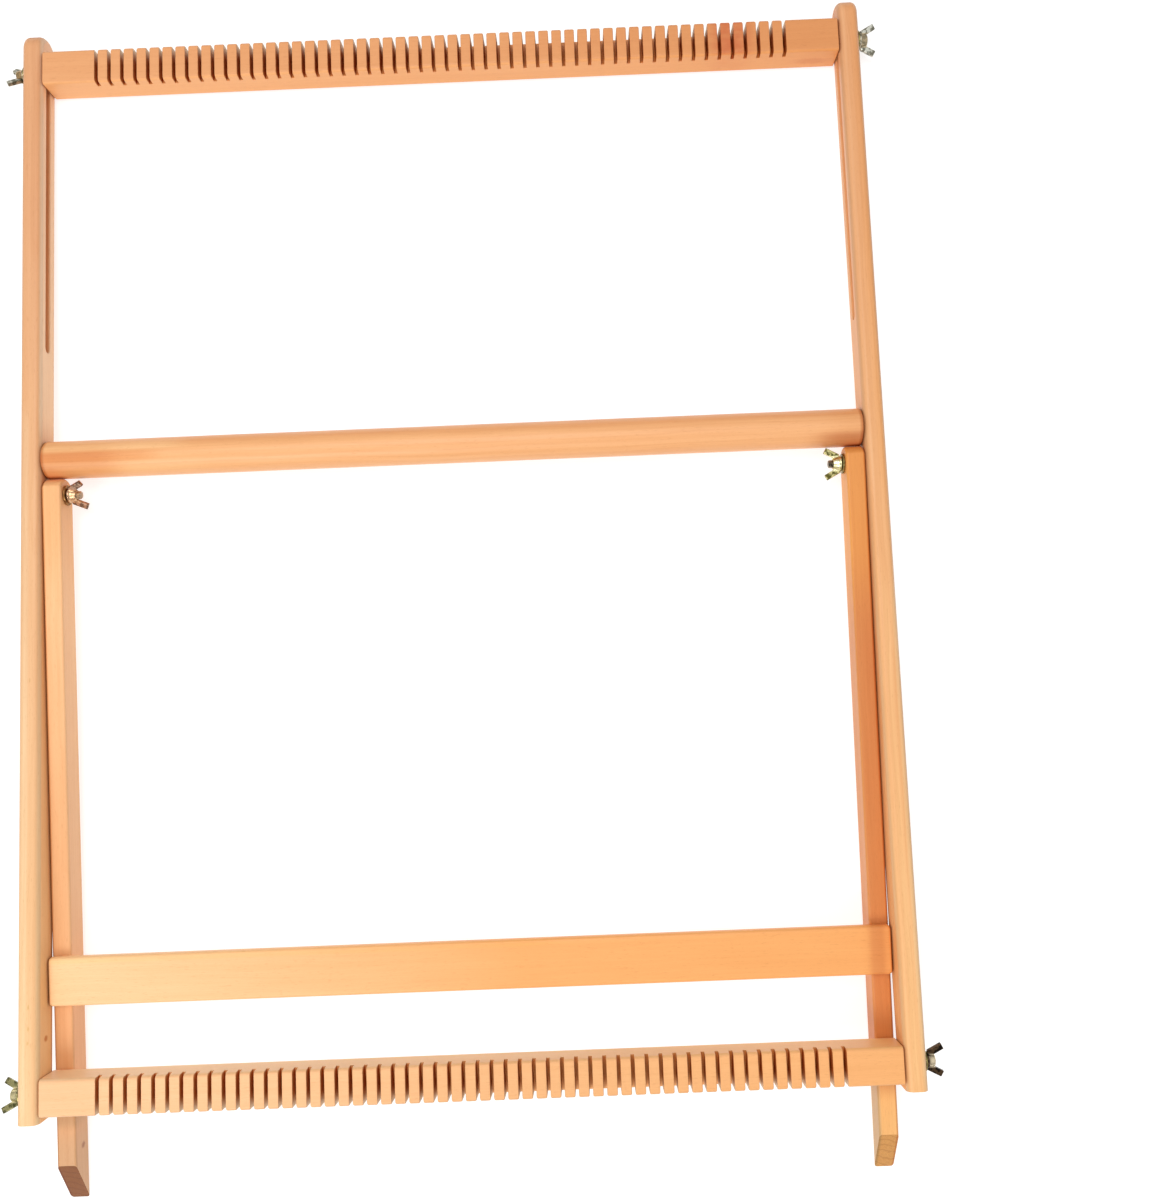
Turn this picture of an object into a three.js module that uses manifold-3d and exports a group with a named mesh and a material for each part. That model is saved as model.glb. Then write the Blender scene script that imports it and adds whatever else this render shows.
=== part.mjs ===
// Weaving frame with a folding stand.
//
// A rectangular weaving frame of light hardwood: two side rails, two notched
// beams, a round middle bar, and a two-legged stand that folds against the
// back of the frame.  It lies on its back with the stand folded: the rounded
// top ends of the rails and the toes of the two legs touch the ground.
//
// Units: millimetres, +Z up.  The frame is built flat in its own group, with
// local X to the right, local Y along the rails towards their top ends and
// local Z out of the notched face; that group is then tilted a little so that
// the toes and the rail ends lie on Z = 0.

import * as THREE from 'three';
import { mergeVertices } from 'three/addons/utils/BufferGeometryUtils.js';
import Module from 'manifold-3d';

const wasm = await Module();
wasm.setup();

// ---------------------------------------------------------------- dimensions
const RAIL_LENGTH = 648;          // side rail, end to end
const RAIL_WIDTH = 12.4;           // seen from the front
const RAIL_DEPTH = 20;            // front to back
const RAIL_EDGE = 4;              // radius of its long front edges
const RAIL_BACK_EDGE = 2.4;       // and of its long back edges
const INNER_WIDTH = 488;          // between the inner faces of the rails
const END_GAP = 0.5;              // play at each end of a cross piece

const SLOT_WIDTH = 5.6;           // adjustment slot for the top beam
const SLOT_BOTTOM = 448;          // lowest point of the slot, from the rail's foot
const SLOT_TOP = 632;             // highest point of the slot

const BEAM_HEIGHT = 21;           // along the rails
const BEAM_DEPTH = 20;            // front to back
const BEAM_EDGE = 2;
const TOP_BEAM_Y = 624.2;         // axis of the top beam's studs
const BOTTOM_BEAM_Y = 14.4;       // axis of the bottom beam's studs
const KERF_COUNT = 54;
const KERF_PITCH = 7.94;          // 5/16 inch
const KERF_WIDTH = 2.0;
const KERF_SHALLOW = 5.8;         // depth at the edge that faces the warp
const KERF_DEEP = 15;             // depth at the far edge

const BAR_RADIUS = 11.3;          // round middle bar
const BAR_Y = 381.5;

const PIVOT_Y = 360;              // stand pivot, below the middle bar
const LEG_WIDTH = 11.2;
const LEG_DEPTH = 17.5;
const LEG_EDGE = 1.6;
const LEG_GAP = 0.4;              // rail to leg
const LEG_TOP_RADIUS = 9.85;    // the top is rounded about the pivot
const LEG_FRONT_LENGTH = 390.9;   // pivot to the toe, on the front side
const LEG_BACK_LENGTH = 416.6;    // the toe is cut to sit flat when open
const FOLDED_ANGLE = 3.3;         // degrees between leg and rail when folded

const BOARD_HEIGHT = 28.1;        // stretcher board between the legs
const BOARD_THICKNESS = 6;
const BOARD_FROM_PIVOT = 283.9;
const BOARD_EDGE = 2.2;
const FACE_GAP = 0.25;            // faces that bear on each other

const BOLT_RADIUS = 2.5;          // 5 mm studs and bolts
const HOLE_RADIUS = 2.9;
const WASHER_RADIUS = 6;
const WASHER_THICKNESS = 1;
const NUT_HEIGHT = 5;
const NUT_BASE_RADIUS = 4.8;
const NUT_TOP_RADIUS = 3.5;
const WING_TIP_RADIUS = 9.8;
const WING_HEIGHT = 10.2;
const WING_THICKNESS = 1.8;
const INSERT_RADIUS = 4;
const INSERT_LENGTH = 12;

// turn of each wing nut about its own bolt, degrees from the rail's direction
const NUT_TURN = {
  top_left: -35, top_right: 10, bottom_left: -15, bottom_right: 9,
  left_pivot: 42, right_pivot: 0,
};

const HALF = INNER_WIDTH / 2;
const CROSS_LENGTH = INNER_WIDTH - 2 * END_GAP;

// ----------------------------------------------------------------- materials
const wood = (hex) => new THREE.MeshStandardMaterial({ color: hex, roughness: 0.62, metalness: 0 });
const metal = (hex, rough) => new THREE.MeshStandardMaterial({ color: hex, roughness: rough, metalness: 1 });

// ------------------------------------------------------------------- helpers
const X_AXIS = new THREE.Vector3(1, 0, 0);
const Y_AXIS = new THREE.Vector3(0, 1, 0);
const Z_AXIS = new THREE.Vector3(0, 0, 1);
const ALONG_X = new THREE.Matrix4().makeBasis(Y_AXIS, Z_AXIS, X_AXIS);            // outline (y, z)
const ALONG_Y = new THREE.Matrix4().makeBasis(X_AXIS, Z_AXIS.clone().negate(), Y_AXIS); // outline (x, -z)
const ALONG_Z = new THREE.Matrix4();                                              // outline (x, y)

function solid(geometry) {
  const g = geometry.clone();
  for (const name of Object.keys(g.attributes)) if (name !== 'position') g.deleteAttribute(name);
  const m = mergeVertices(g, 1e-4);
  return new wasm.Manifold(new wasm.Mesh({
    numProp: 3,
    vertProperties: new Float32Array(m.attributes.position.array),
    triVerts: new Uint32Array(m.index.array),
  }));
}

function geometryOf(manifold) {
  const mesh = manifold.getMesh();
  const g = new THREE.BufferGeometry();
  const count = mesh.numProp;
  const n = mesh.vertProperties.length / count;
  const pos = new Float32Array(n * 3);
  for (let i = 0; i < n; i++) for (let k = 0; k < 3; k++) pos[3 * i + k] = mesh.vertProperties[count * i + k];
  g.setAttribute('position', new THREE.BufferAttribute(pos, 3));
  g.setIndex(new THREE.BufferAttribute(new Uint32Array(mesh.triVerts), 1));
  g.computeVertexNormals();
  return g;
}

// rounded rectangle as points; radii listed for the corners (+,+) (-,+) (-,-) (+,-)
function roundRect(w, h, radii, steps) {
  const r = Array.isArray(radii) ? radii : [radii, radii, radii, radii];
  const out = [];
  const corner = [[1, 1], [-1, 1], [-1, -1], [1, -1]];
  for (let c = 0; c < 4; c++) {
    const [sx, sy] = corner[c];
    const cx = sx * (w / 2 - r[c]);
    const cy = sy * (h / 2 - r[c]);
    if (r[c] < 1e-6) { out.push(new THREE.Vector2(cx, cy)); continue; }
    for (let i = 0; i <= steps; i++) {
      const a = (c * 90 + (90 * i) / steps) * Math.PI / 180;
      out.push(new THREE.Vector2(cx + r[c] * Math.cos(a), cy + r[c] * Math.sin(a)));
    }
  }
  return out;
}

function extrude(points, depth, basis, start = 0) {
  const g = new THREE.ExtrudeGeometry(new THREE.Shape(points), { depth, bevelEnabled: false, steps: 1 });
  g.translate(0, 0, start);
  g.applyMatrix4(basis);
  return g;
}

// body of revolution about X, from (x, radius) pairs that start and end on the axis
// or close on themselves
function turned(profile, segments) {
  const g = new THREE.LatheGeometry(profile.map(([x, r]) => new THREE.Vector2(r, x)), segments);
  g.rotateZ(-Math.PI / 2);      // the lathe's +Y becomes +X
  return g;
}

const rod = (x0, x1, r, segments = 20) => turned([[x0, 0], [x0, r], [x1, r], [x1, 0]], segments);

function place(geometry, x, y, z) {
  const g = geometry.clone();
  g.translate(x, y, z);
  return g;
}

function mesh(name, geometry, material) {
  const m = new THREE.Mesh(geometry, material);
  m.name = name;
  return m;
}

// ---------------------------------------------------------------- side rails
// A 12.4 x 20 bar with rounded edges, square at the foot and round at the top.
function railBody() {
  const radii = [RAIL_BACK_EDGE, RAIL_BACK_EDGE, RAIL_EDGE, RAIL_EDGE];   // the outline's upper side is the back
  const section = extrude(roundRect(RAIL_WIDTH, RAIL_DEPTH, radii, 4), RAIL_LENGTH, ALONG_Y);
  const side = [];
  const rz = RAIL_DEPTH / 2;
  side.push(new THREE.Vector2(0, -rz), new THREE.Vector2(RAIL_LENGTH - rz, -rz));
  for (let i = 1; i < 14; i++) {
    const a = (-90 + (180 * i) / 14) * Math.PI / 180;
    side.push(new THREE.Vector2(RAIL_LENGTH - rz + rz * Math.cos(a), rz * Math.sin(a)));
  }
  side.push(new THREE.Vector2(RAIL_LENGTH - rz, rz), new THREE.Vector2(0, rz));
  const profile = extrude(side, RAIL_WIDTH + 2, ALONG_X, -RAIL_WIDTH / 2 - 1);
  const front = place(
    extrude(roundRect(RAIL_WIDTH, RAIL_LENGTH, [4, 4, 0.8, 0.8], 4), RAIL_DEPTH + 2, ALONG_Z, -RAIL_DEPTH / 2 - 1),
    0, RAIL_LENGTH / 2, 0);
  return solid(section).intersect(solid(profile)).intersect(solid(front));
}

function slotCutter() {
  const pts = [];
  const r = SLOT_WIDTH / 2;
  for (let i = 0; i <= 8; i++) {
    const a = (-90 + (180 * i) / 8) * Math.PI / 180;
    pts.push(new THREE.Vector2(SLOT_TOP - r + r * Math.cos(a), r * Math.sin(a)));
  }
  for (let i = 0; i <= 8; i++) {
    const a = (90 + (180 * i) / 8) * Math.PI / 180;
    pts.push(new THREE.Vector2(SLOT_BOTTOM + r + r * Math.cos(a), r * Math.sin(a)));
  }
  return extrude(pts, RAIL_WIDTH + 4, ALONG_X, -RAIL_WIDTH / 2 - 2);
}

// flat-headed screw seat that opens on the outer face; "out" is +1 or -1 in X
function seat(out, headRadius, headDepth, shankRadius) {
  const f = out * (RAIL_WIDTH / 2);
  const profile = [
    [f + out * 2, 0], [f + out * 2, headRadius], [f, headRadius],
    [f - out * headDepth, shankRadius], [-f - out * 2, shankRadius], [-f - out * 2, 0],
  ];
  return turned(out > 0 ? profile.slice().reverse() : profile, 20);
}

function rail(side) {
  let body = railBody().subtract(solid(slotCutter()));
  body = body.subtract(solid(place(rod(-RAIL_WIDTH, RAIL_WIDTH, HOLE_RADIUS), 0, BOTTOM_BEAM_Y, 0)));
  body = body.subtract(solid(place(seat(side, 5.4, 3.0, HOLE_RADIUS), 0, PIVOT_Y, 0)));
  body = body.subtract(solid(place(seat(side, 4.4, 2.6, 2.2), 0, BAR_Y, 0)));
  return geometryOf(body);
}

// ------------------------------------------------------------- notched beams
// "toward" is +1 when the warp leaves towards +Y (bottom beam) and -1 for the
// top beam: each kerf is shallow on that edge and deep on the other.
function beam(toward) {
  const outline = roundRect(BEAM_HEIGHT, BEAM_DEPTH, BEAM_EDGE, 2);
  let body = solid(extrude(outline, CROSS_LENGTH, ALONG_X, -CROSS_LENGTH / 2));
  const front = BEAM_DEPTH / 2;
  const reach = BEAM_HEIGHT / 2 + 1;
  const slope = (KERF_DEEP - KERF_SHALLOW) / BEAM_HEIGHT;
  const floorAt = (y) => front - (KERF_SHALLOW + slope * (BEAM_HEIGHT / 2 - toward * y));
  const kerf = [
    new THREE.Vector2(-reach, floorAt(-reach)),
    new THREE.Vector2(reach, floorAt(reach)),
    new THREE.Vector2(reach, front + 2),
    new THREE.Vector2(-reach, front + 2),
  ];
  for (let i = 0; i < KERF_COUNT; i++) {
    const x = (i - (KERF_COUNT - 1) / 2) * KERF_PITCH;
    body = body.subtract(solid(extrude(kerf, KERF_WIDTH, ALONG_X, x - KERF_WIDTH / 2)));
  }
  // blind holes for the threaded inserts, with room for the stud's end
  for (const s of [-1, 1]) {
    const f = s * CROSS_LENGTH / 2;
    const a = Math.min(f + s * 1, f - s * (INSERT_LENGTH + 4));
    const b = Math.max(f + s * 1, f - s * (INSERT_LENGTH + 4));
    body = body.subtract(solid(rod(a, b, INSERT_RADIUS + 0.3, 16)));
  }
  return geometryOf(body);
}

// ---------------------------------------------------------------- middle bar
function middleBar() {
  const c = 1.2;
  const h = CROSS_LENGTH / 2;
  let body = solid(turned([[-h, 0], [-h, BAR_RADIUS - c], [-h + c, BAR_RADIUS], [h - c, BAR_RADIUS],
    [h, BAR_RADIUS - c], [h, 0]], 36));
  for (const s of [-1, 1]) {
    const a = Math.min(s * (h + 1), s * (h - 34));
    const b = Math.max(s * (h + 1), s * (h - 34));
    body = body.subtract(solid(rod(a, b, 2.2, 12)));
  }
  return geometryOf(body);
}

// ---------------------------------------------------------------- stand legs
// Built hanging straight down from the pivot (local -Y), front side +Z.
function leg() {
  const half = LEG_DEPTH / 2;
  const top = LEG_TOP_RADIUS;
  const bottom = -LEG_BACK_LENGTH - 5;
  const section = place(extrude(roundRect(LEG_WIDTH, LEG_DEPTH, LEG_EDGE, 3), top - bottom, ALONG_Y), 0, bottom, 0);
  const side = [];
  side.push(new THREE.Vector2(-LEG_FRONT_LENGTH, half), new THREE.Vector2(-LEG_BACK_LENGTH, -half));
  const spread = Math.asin(half / top);
  for (let i = 0; i <= 12; i++) {
    const a = spread * (i / 6 - 1);
    side.push(new THREE.Vector2(top * Math.cos(a), top * Math.sin(a)));
  }
  const profile = extrude(side, LEG_WIDTH + 2, ALONG_X, -LEG_WIDTH / 2 - 1);
  let body = solid(section).intersect(solid(profile));
  body = body.subtract(solid(rod(-LEG_WIDTH, LEG_WIDTH, HOLE_RADIUS)));
  // screw seats for the board, from the back
  for (const dy of BOARD_SCREWS) {
    const cut = turned([[-LEG_DEPTH / 2 - 2, 0], [-LEG_DEPTH / 2 - 2, 3.9], [-LEG_DEPTH / 2, 3.9],
      [-LEG_DEPTH / 2 + 2.3, 1.9], [LEG_DEPTH, 1.9], [LEG_DEPTH, 0]], 16);
    cut.rotateY(-Math.PI / 2);    // X becomes Z
    body = body.subtract(solid(place(cut, 0, -BOARD_FROM_PIVOT + dy, 0)));
  }
  return geometryOf(body);
}
const BOARD_SCREWS = [-7, 7];
const LEG_X = HALF - LEG_GAP - LEG_WIDTH / 2;

// the flat board on the front of the legs, its ends flush with their outer faces
function board() {
  const length = 2 * (HALF - LEG_GAP);
  const section = extrude(roundRect(BOARD_HEIGHT, BOARD_THICKNESS, BOARD_EDGE, 3), length, ALONG_X, -length / 2);
  const face = extrude(roundRect(length, BOARD_HEIGHT, BOARD_EDGE, 3), BOARD_THICKNESS + 2, ALONG_Z, -BOARD_THICKNESS / 2 - 1);
  let body = solid(section).intersect(solid(face));
  for (const x of [-LEG_X, LEG_X]) {
    for (const dy of BOARD_SCREWS) {
      const cut = rod(-BOARD_THICKNESS, BOARD_THICKNESS / 2 - 1.6, 1.9, 12);
      cut.rotateY(-Math.PI / 2);
      body = body.subtract(solid(place(cut, x, dy, 0)));
    }
  }
  return geometryOf(body);
}

// ------------------------------------------------------------------ hardware
// Everything is turned along +X, which points away from the wood that it holds.
const stud = (x0, x1) => turned([[x0, 0], [x0, BOLT_RADIUS - 0.6], [x0 + 0.6, BOLT_RADIUS],
  [x1 - 0.6, BOLT_RADIUS], [x1, BOLT_RADIUS - 0.6], [x1, 0]], 16);

function ring(x0, x1, inner, outer, segments) {
  return turned([[x0, inner], [x0, outer], [x1, outer], [x1, inner], [x0, inner]], segments);
}

const washer = () => ring(0, WASHER_THICKNESS, HOLE_RADIUS, WASHER_RADIUS, 20);
const insert = () => ring(-INSERT_LENGTH, 0, HOLE_RADIUS - 0.1, INSERT_RADIUS, 16);

// wing nut: a coned hub with two square-ended wings that splay away from the wood
function wingNut() {
  const hub = turned([[0, HOLE_RADIUS - 0.1], [0, NUT_BASE_RADIUS], [1.2, NUT_BASE_RADIUS],
    [NUT_HEIGHT, NUT_TOP_RADIUS], [NUT_HEIGHT, HOLE_RADIUS - 0.1], [0, HOLE_RADIUS - 0.1]], 20);
  let body = solid(hub);
  const wing = [[0.9, 3.3], [3.5, 3.05], [WING_HEIGHT, 6.7], [8.5, WING_TIP_RADIUS], [0.9, 5.8]];
  for (const s of [-1, 1]) {
    const pts = wing.map(([x, r]) => new THREE.Vector2(x, s * r));
    const plate = extrude(s > 0 ? pts.reverse() : pts, WING_THICKNESS, ALONG_Z, -WING_THICKNESS / 2);
    body = body.add(solid(plate));
  }
  return geometryOf(body);
}

// flat-headed screw: the head's rim is at x = 0 and the point lies at -length
const flatScrew = (length, headRadius, headDepth, shank, point) => turned([
  [-length, 0], [-length + point, shank], [-headDepth, shank], [-0.4, headRadius], [0, headRadius], [0, 0],
], 16);

// ------------------------------------------------------------------ assembly
const loom = new THREE.Group();      // the frame, lying flat in its own axes
const stand = new THREE.Group();     // the stand, about its pivot

const zinc = 0xb9ad8a;
const railX = HALF + RAIL_WIDTH / 2;
const outerX = HALF + RAIL_WIDTH;

for (const [side, word] of [[-1, 'left'], [1, 'right']]) {
  const r = mesh(word + '_rail', rail(side), wood(side < 0 ? 0xe2ad76 : 0xe0aa72));
  r.position.set(side * railX, 0, 0);
  loom.add(r);
}

const topBeam = mesh('top_beam', beam(-1), wood(0xe3a76d));
topBeam.position.set(0, TOP_BEAM_Y, 0);
const bottomBeam = mesh('bottom_beam', beam(1), wood(0xe0a468));
bottomBeam.position.set(0, BOTTOM_BEAM_Y, 0);
const bar = mesh('mid_bar', middleBar(), wood(0xdf9f63));
bar.position.set(0, BAR_Y, 0);
loom.add(topBeam, bottomBeam, bar);

// a group whose +X points outward at a rail, on the given side
function outward(side, x, y, spin = 0) {
  const g = new THREE.Group();
  g.position.set(side * x, y, 0);
  g.rotation.set(0, side > 0 ? 0 : Math.PI, 0);
  const inner = new THREE.Group();
  inner.rotation.set(THREE.MathUtils.degToRad(side * spin), 0, 0);
  g.add(inner);
  loom.add(g);
  return inner;
}

for (const [row, y] of [['top', TOP_BEAM_Y], ['bottom', BOTTOM_BEAM_Y]]) {
  for (const [side, word] of [[-1, 'left'], [1, 'right']]) {
    const name = row + '_' + word;
    const held = outward(side, outerX, y);
    const beamFace = CROSS_LENGTH / 2 - outerX;           // beam's end, seen from the rail's outer face
    held.add(mesh(name + '_stud', stud(beamFace - INSERT_LENGTH + 1, WASHER_THICKNESS + NUT_HEIGHT + 0.8), metal(zinc, 0.35)));
    const ins = mesh(name + '_insert', insert(), metal(0xb08d4c, 0.4));
    ins.position.set(beamFace - 0.2, 0, 0);
    held.add(ins);
    const w = mesh(name + '_washer', washer(), metal(zinc, 0.35));
    w.position.set(FACE_GAP, 0, 0);
    held.add(w);
    const nut = mesh(name + '_wing_nut', wingNut(), metal(zinc, 0.32));
    const spun = outward(side, outerX + FACE_GAP * 2 + WASHER_THICKNESS, y, NUT_TURN[name]);
    nut.rotation.set(0, 0, 0);
    spun.add(nut);
  }
}

// pivot bolts run from the rail's outer face to the inner side of the leg,
// so these groups point inward
for (const [side, word] of [[-1, 'left'], [1, 'right']]) {
  const g = new THREE.Group();
  g.position.set(side * outerX, PIVOT_Y, 0);
  g.rotation.set(0, side > 0 ? Math.PI : 0, 0);
  loom.add(g);
  const reach = RAIL_WIDTH + LEG_GAP + LEG_WIDTH;          // outer face of the rail to inner face of the leg
  const bolt = mesh(word + '_pivot_bolt', turned([
    [0.2, 0], [0.2, 4.6], [0.5, 4.6], [2.7, BOLT_RADIUS],
    [reach + WASHER_THICKNESS + NUT_HEIGHT + 2.6, BOLT_RADIUS], [reach + WASHER_THICKNESS + NUT_HEIGHT + 3.2, BOLT_RADIUS - 0.6],
    [reach + WASHER_THICKNESS + NUT_HEIGHT + 3.2, 0]], 16), metal(zinc, 0.35));
  const w = mesh(word + '_pivot_washer', washer(), metal(zinc, 0.35));
  w.position.set(reach + FACE_GAP, 0, 0);
  const spin = new THREE.Group();
  spin.position.set(reach + 2 * FACE_GAP + WASHER_THICKNESS, 0, 0);
  spin.rotation.set(THREE.MathUtils.degToRad(-side * NUT_TURN[word + '_pivot']), 0, 0);
  spin.add(mesh(word + '_pivot_wing_nut', wingNut(), metal(zinc, 0.32)));
  g.add(bolt, w, spin);

  const screw = mesh(word + '_bar_screw', flatScrew(44, 3.6, 2.1, 1.85, 5), metal(0x8c8577, 0.4));
  const sg = new THREE.Group();
  sg.position.set(side * (outerX - 0.2), BAR_Y, 0);
  sg.rotation.set(0, side > 0 ? 0 : Math.PI, 0);
  sg.add(screw);
  loom.add(sg);
}

// the stand turns about the pivot: legs, board and the board's screws
stand.position.set(0, PIVOT_Y, 0);
stand.rotation.set(THREE.MathUtils.degToRad(FOLDED_ANGLE), 0, 0);
for (const [side, word] of [[-1, 'left'], [1, 'right']]) {
  const l = mesh(word + '_leg', leg(), wood(side < 0 ? 0xe1a871 : 0xd99a5f));
  l.position.set(side * LEG_X, 0, 0);
  stand.add(l);
  BOARD_SCREWS.forEach((dy, i) => {
    const s = mesh(word + '_board_screw_' + (i ? 'upper' : 'lower'),
      flatScrew(LEG_DEPTH + FACE_GAP + BOARD_THICKNESS - 2.2, 3.1, 1.8, 1.5, 4), metal(0x8c8577, 0.4));
    s.rotation.set(0, Math.PI / 2, 0);                     // the head faces the back, -Z
    s.position.set(side * LEG_X, -BOARD_FROM_PIVOT + dy, -LEG_DEPTH / 2 + 0.2);
    stand.add(s);
  });
}
const plank = mesh('stand_board', board(), wood(0xedc08c));
plank.position.set(0, -BOARD_FROM_PIVOT, LEG_DEPTH / 2 + FACE_GAP + BOARD_THICKNESS / 2);
stand.add(plank);
loom.add(stand);

// ------------------------------------------------------- lying on the ground
// The ground touches the round top ends of the rails and the toes of the legs.
const folded = THREE.MathUtils.degToRad(FOLDED_ANGLE);
const toe = new THREE.Vector2(                              // (y, z) of the toe's tip
  PIVOT_Y - LEG_BACK_LENGTH * Math.cos(folded) + (LEG_DEPTH / 2) * Math.sin(folded),
  -LEG_BACK_LENGTH * Math.sin(folded) - (LEG_DEPTH / 2) * Math.cos(folded));
const crown = new THREE.Vector2(RAIL_LENGTH - RAIL_DEPTH / 2, 0); // centre of the round end
const run = crown.x - toe.x;
const rise = crown.y - toe.y;
const reachAngle = Math.atan2(rise, run);
const tilt = reachAngle - Math.asin((RAIL_DEPTH / 2) / Math.hypot(run, rise));
loom.rotation.set(-tilt, 0, 0);

const object = new THREE.Group();
object.add(loom);
object.updateMatrixWorld(true);
const box = new THREE.Box3().setFromObject(object, true);
loom.position.set(0, -(box.min.y + box.max.y) / 2, -box.min.z);
object.updateMatrixWorld(true);

export default object;
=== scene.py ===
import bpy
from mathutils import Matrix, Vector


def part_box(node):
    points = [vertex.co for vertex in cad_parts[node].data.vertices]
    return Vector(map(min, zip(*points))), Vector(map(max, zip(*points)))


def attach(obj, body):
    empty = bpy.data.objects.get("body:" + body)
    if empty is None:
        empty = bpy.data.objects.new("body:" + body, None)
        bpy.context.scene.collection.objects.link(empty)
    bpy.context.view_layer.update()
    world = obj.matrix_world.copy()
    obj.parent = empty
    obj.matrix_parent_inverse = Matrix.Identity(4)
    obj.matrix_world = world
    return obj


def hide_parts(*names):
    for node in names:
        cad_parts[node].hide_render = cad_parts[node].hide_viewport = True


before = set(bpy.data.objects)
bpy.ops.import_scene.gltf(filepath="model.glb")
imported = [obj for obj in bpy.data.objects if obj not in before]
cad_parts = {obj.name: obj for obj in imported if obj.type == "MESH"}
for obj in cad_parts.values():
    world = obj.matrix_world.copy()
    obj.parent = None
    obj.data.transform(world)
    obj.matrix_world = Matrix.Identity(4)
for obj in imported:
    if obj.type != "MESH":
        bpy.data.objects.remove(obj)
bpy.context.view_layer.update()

import math

import bmesh
import bpy
from mathutils import Matrix, Vector

# --------------------------------------------------------------------------
# dimensions of the frame, in millimetres, as in the construction
RAIL_LENGTH, RAIL_WIDTH, RAIL_DEPTH, RAIL_EDGE, RAIL_BACK_EDGE = 648.0, 12.4, 20.0, 4.0, 2.4
INNER_WIDTH, END_GAP = 488.0, 0.5
SLOT_WIDTH, SLOT_BOTTOM, SLOT_TOP = 5.6, 448.0, 632.0
BEAM_HEIGHT, BEAM_DEPTH, BEAM_EDGE = 21.0, 20.0, 2.0
TOP_BEAM_Y, BOTTOM_BEAM_Y = 624.2, 14.4
KERF_COUNT, KERF_PITCH, KERF_WIDTH = 54, 7.94, 2.0
KERF_SHALLOW, KERF_DEEP = 5.8, 15.0
BAR_RADIUS, BAR_Y = 11.3, 381.5
PIVOT_Y = 360.0
LEG_WIDTH, LEG_DEPTH, LEG_EDGE, LEG_GAP = 11.2, 17.5, 1.6, 0.4
LEG_FRONT_LENGTH, LEG_BACK_LENGTH, LEG_TOP_RADIUS = 390.9, 416.6, 9.85
FOLDED_ANGLE = math.radians(3.3)
BOARD_HEIGHT, BOARD_THICKNESS, BOARD_FROM_PIVOT, BOARD_EDGE = 28.1, 6.0, 283.9, 2.6
FACE_GAP = 0.25
WASHER_THICKNESS, NUT_HEIGHT, INSERT_LENGTH = 1.0, 5.0, 12.0
NUT_TURN = {"top_left": -35, "top_right": 10, "bottom_left": -15, "bottom_right": 9,
            "left_pivot": 42, "right_pivot": 0}
HALF = INNER_WIDTH / 2
CROSS = INNER_WIDTH - 2 * END_GAP
OUTER = HALF + RAIL_WIDTH
RAIL_X = HALF + RAIL_WIDTH / 2
LEG_X = HALF - LEG_GAP - LEG_WIDTH / 2
BOARD_SCREWS = (-7.0, 7.0)

# the frame lies on its back: round rail ends and toes on the ground
_toe = (PIVOT_Y - LEG_BACK_LENGTH * math.cos(FOLDED_ANGLE) + LEG_DEPTH / 2 * math.sin(FOLDED_ANGLE),
        -LEG_BACK_LENGTH * math.sin(FOLDED_ANGLE) - LEG_DEPTH / 2 * math.cos(FOLDED_ANGLE))
_run, _rise = RAIL_LENGTH - RAIL_DEPTH / 2 - _toe[0], -_toe[1]
TILT = math.atan2(_rise, _run) - math.asin(RAIL_DEPTH / 2 / math.hypot(_run, _rise))
_spin = Matrix.Rotation(-TILT, 4, "X")
# the foot of the left rail in the construction gives the place of the whole frame
_lo, _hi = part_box("left_rail")
_low = min((_spin @ Vector((0, 0, s * RAIL_DEPTH / 2000))).y for s in (-1, 1))
_top = max((_spin @ Vector((0, 0, s * RAIL_DEPTH / 2000))).z for s in (-1, 1))
LOOM = Matrix.Translation((0, _lo[1] - _low, _hi[2] - _top)) @ _spin
STAND = LOOM @ Matrix.Translation((0, PIVOT_Y / 1000, 0)) @ Matrix.Rotation(FOLDED_ANGLE, 4, "X")


# --------------------------------------------------------------------------
# mesh helpers: shapes are lists of (x, y, z) in millimetres and faces
def arc(cx, cy, r, a0, a1, n):
    return [(cx + r * math.cos(math.radians(a0 + (a1 - a0) * i / n)),
             cy + r * math.sin(math.radians(a0 + (a1 - a0) * i / n))) for i in range(n + 1)]


def bm_from(verts, faces):
    bm = bmesh.new()
    vs = [bm.verts.new(v) for v in verts]
    for f in faces:
        bm.faces.new([vs[i] for i in f])
    bm.normal_update()
    bmesh.ops.recalc_face_normals(bm, faces=bm.faces[:])
    return bm


def turned(profile, segments):
    """Body of revolution about X from (x, radius) points that start and end on the axis, or a closed ring."""
    verts, rings, faces = [], [], []
    for x, r in profile:
        if r < 1e-9:
            rings.append([len(verts)])
            verts.append((x, 0.0, 0.0))
        else:
            rings.append(list(range(len(verts), len(verts) + segments)))
            for i in range(segments):
                a = 2 * math.pi * i / segments
                verts.append((x, r * math.cos(a), r * math.sin(a)))
    closed = len(rings[0]) > 1
    pairs = list(zip(rings, rings[1:] + ([rings[0]] if closed else [])))
    if not closed:
        pairs = pairs[:len(rings) - 1]
    for a, b in pairs:
        if len(a) == 1 and len(b) == 1:
            continue
        for i in range(segments):
            j = (i + 1) % segments
            if len(a) == 1:
                faces.append((a[0], b[i], b[j]))
            elif len(b) == 1:
                faces.append((a[i], a[j], b[0]))
            else:
                faces.append((a[i], a[j], b[j], b[i]))
    return bm_from(verts, faces)


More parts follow.
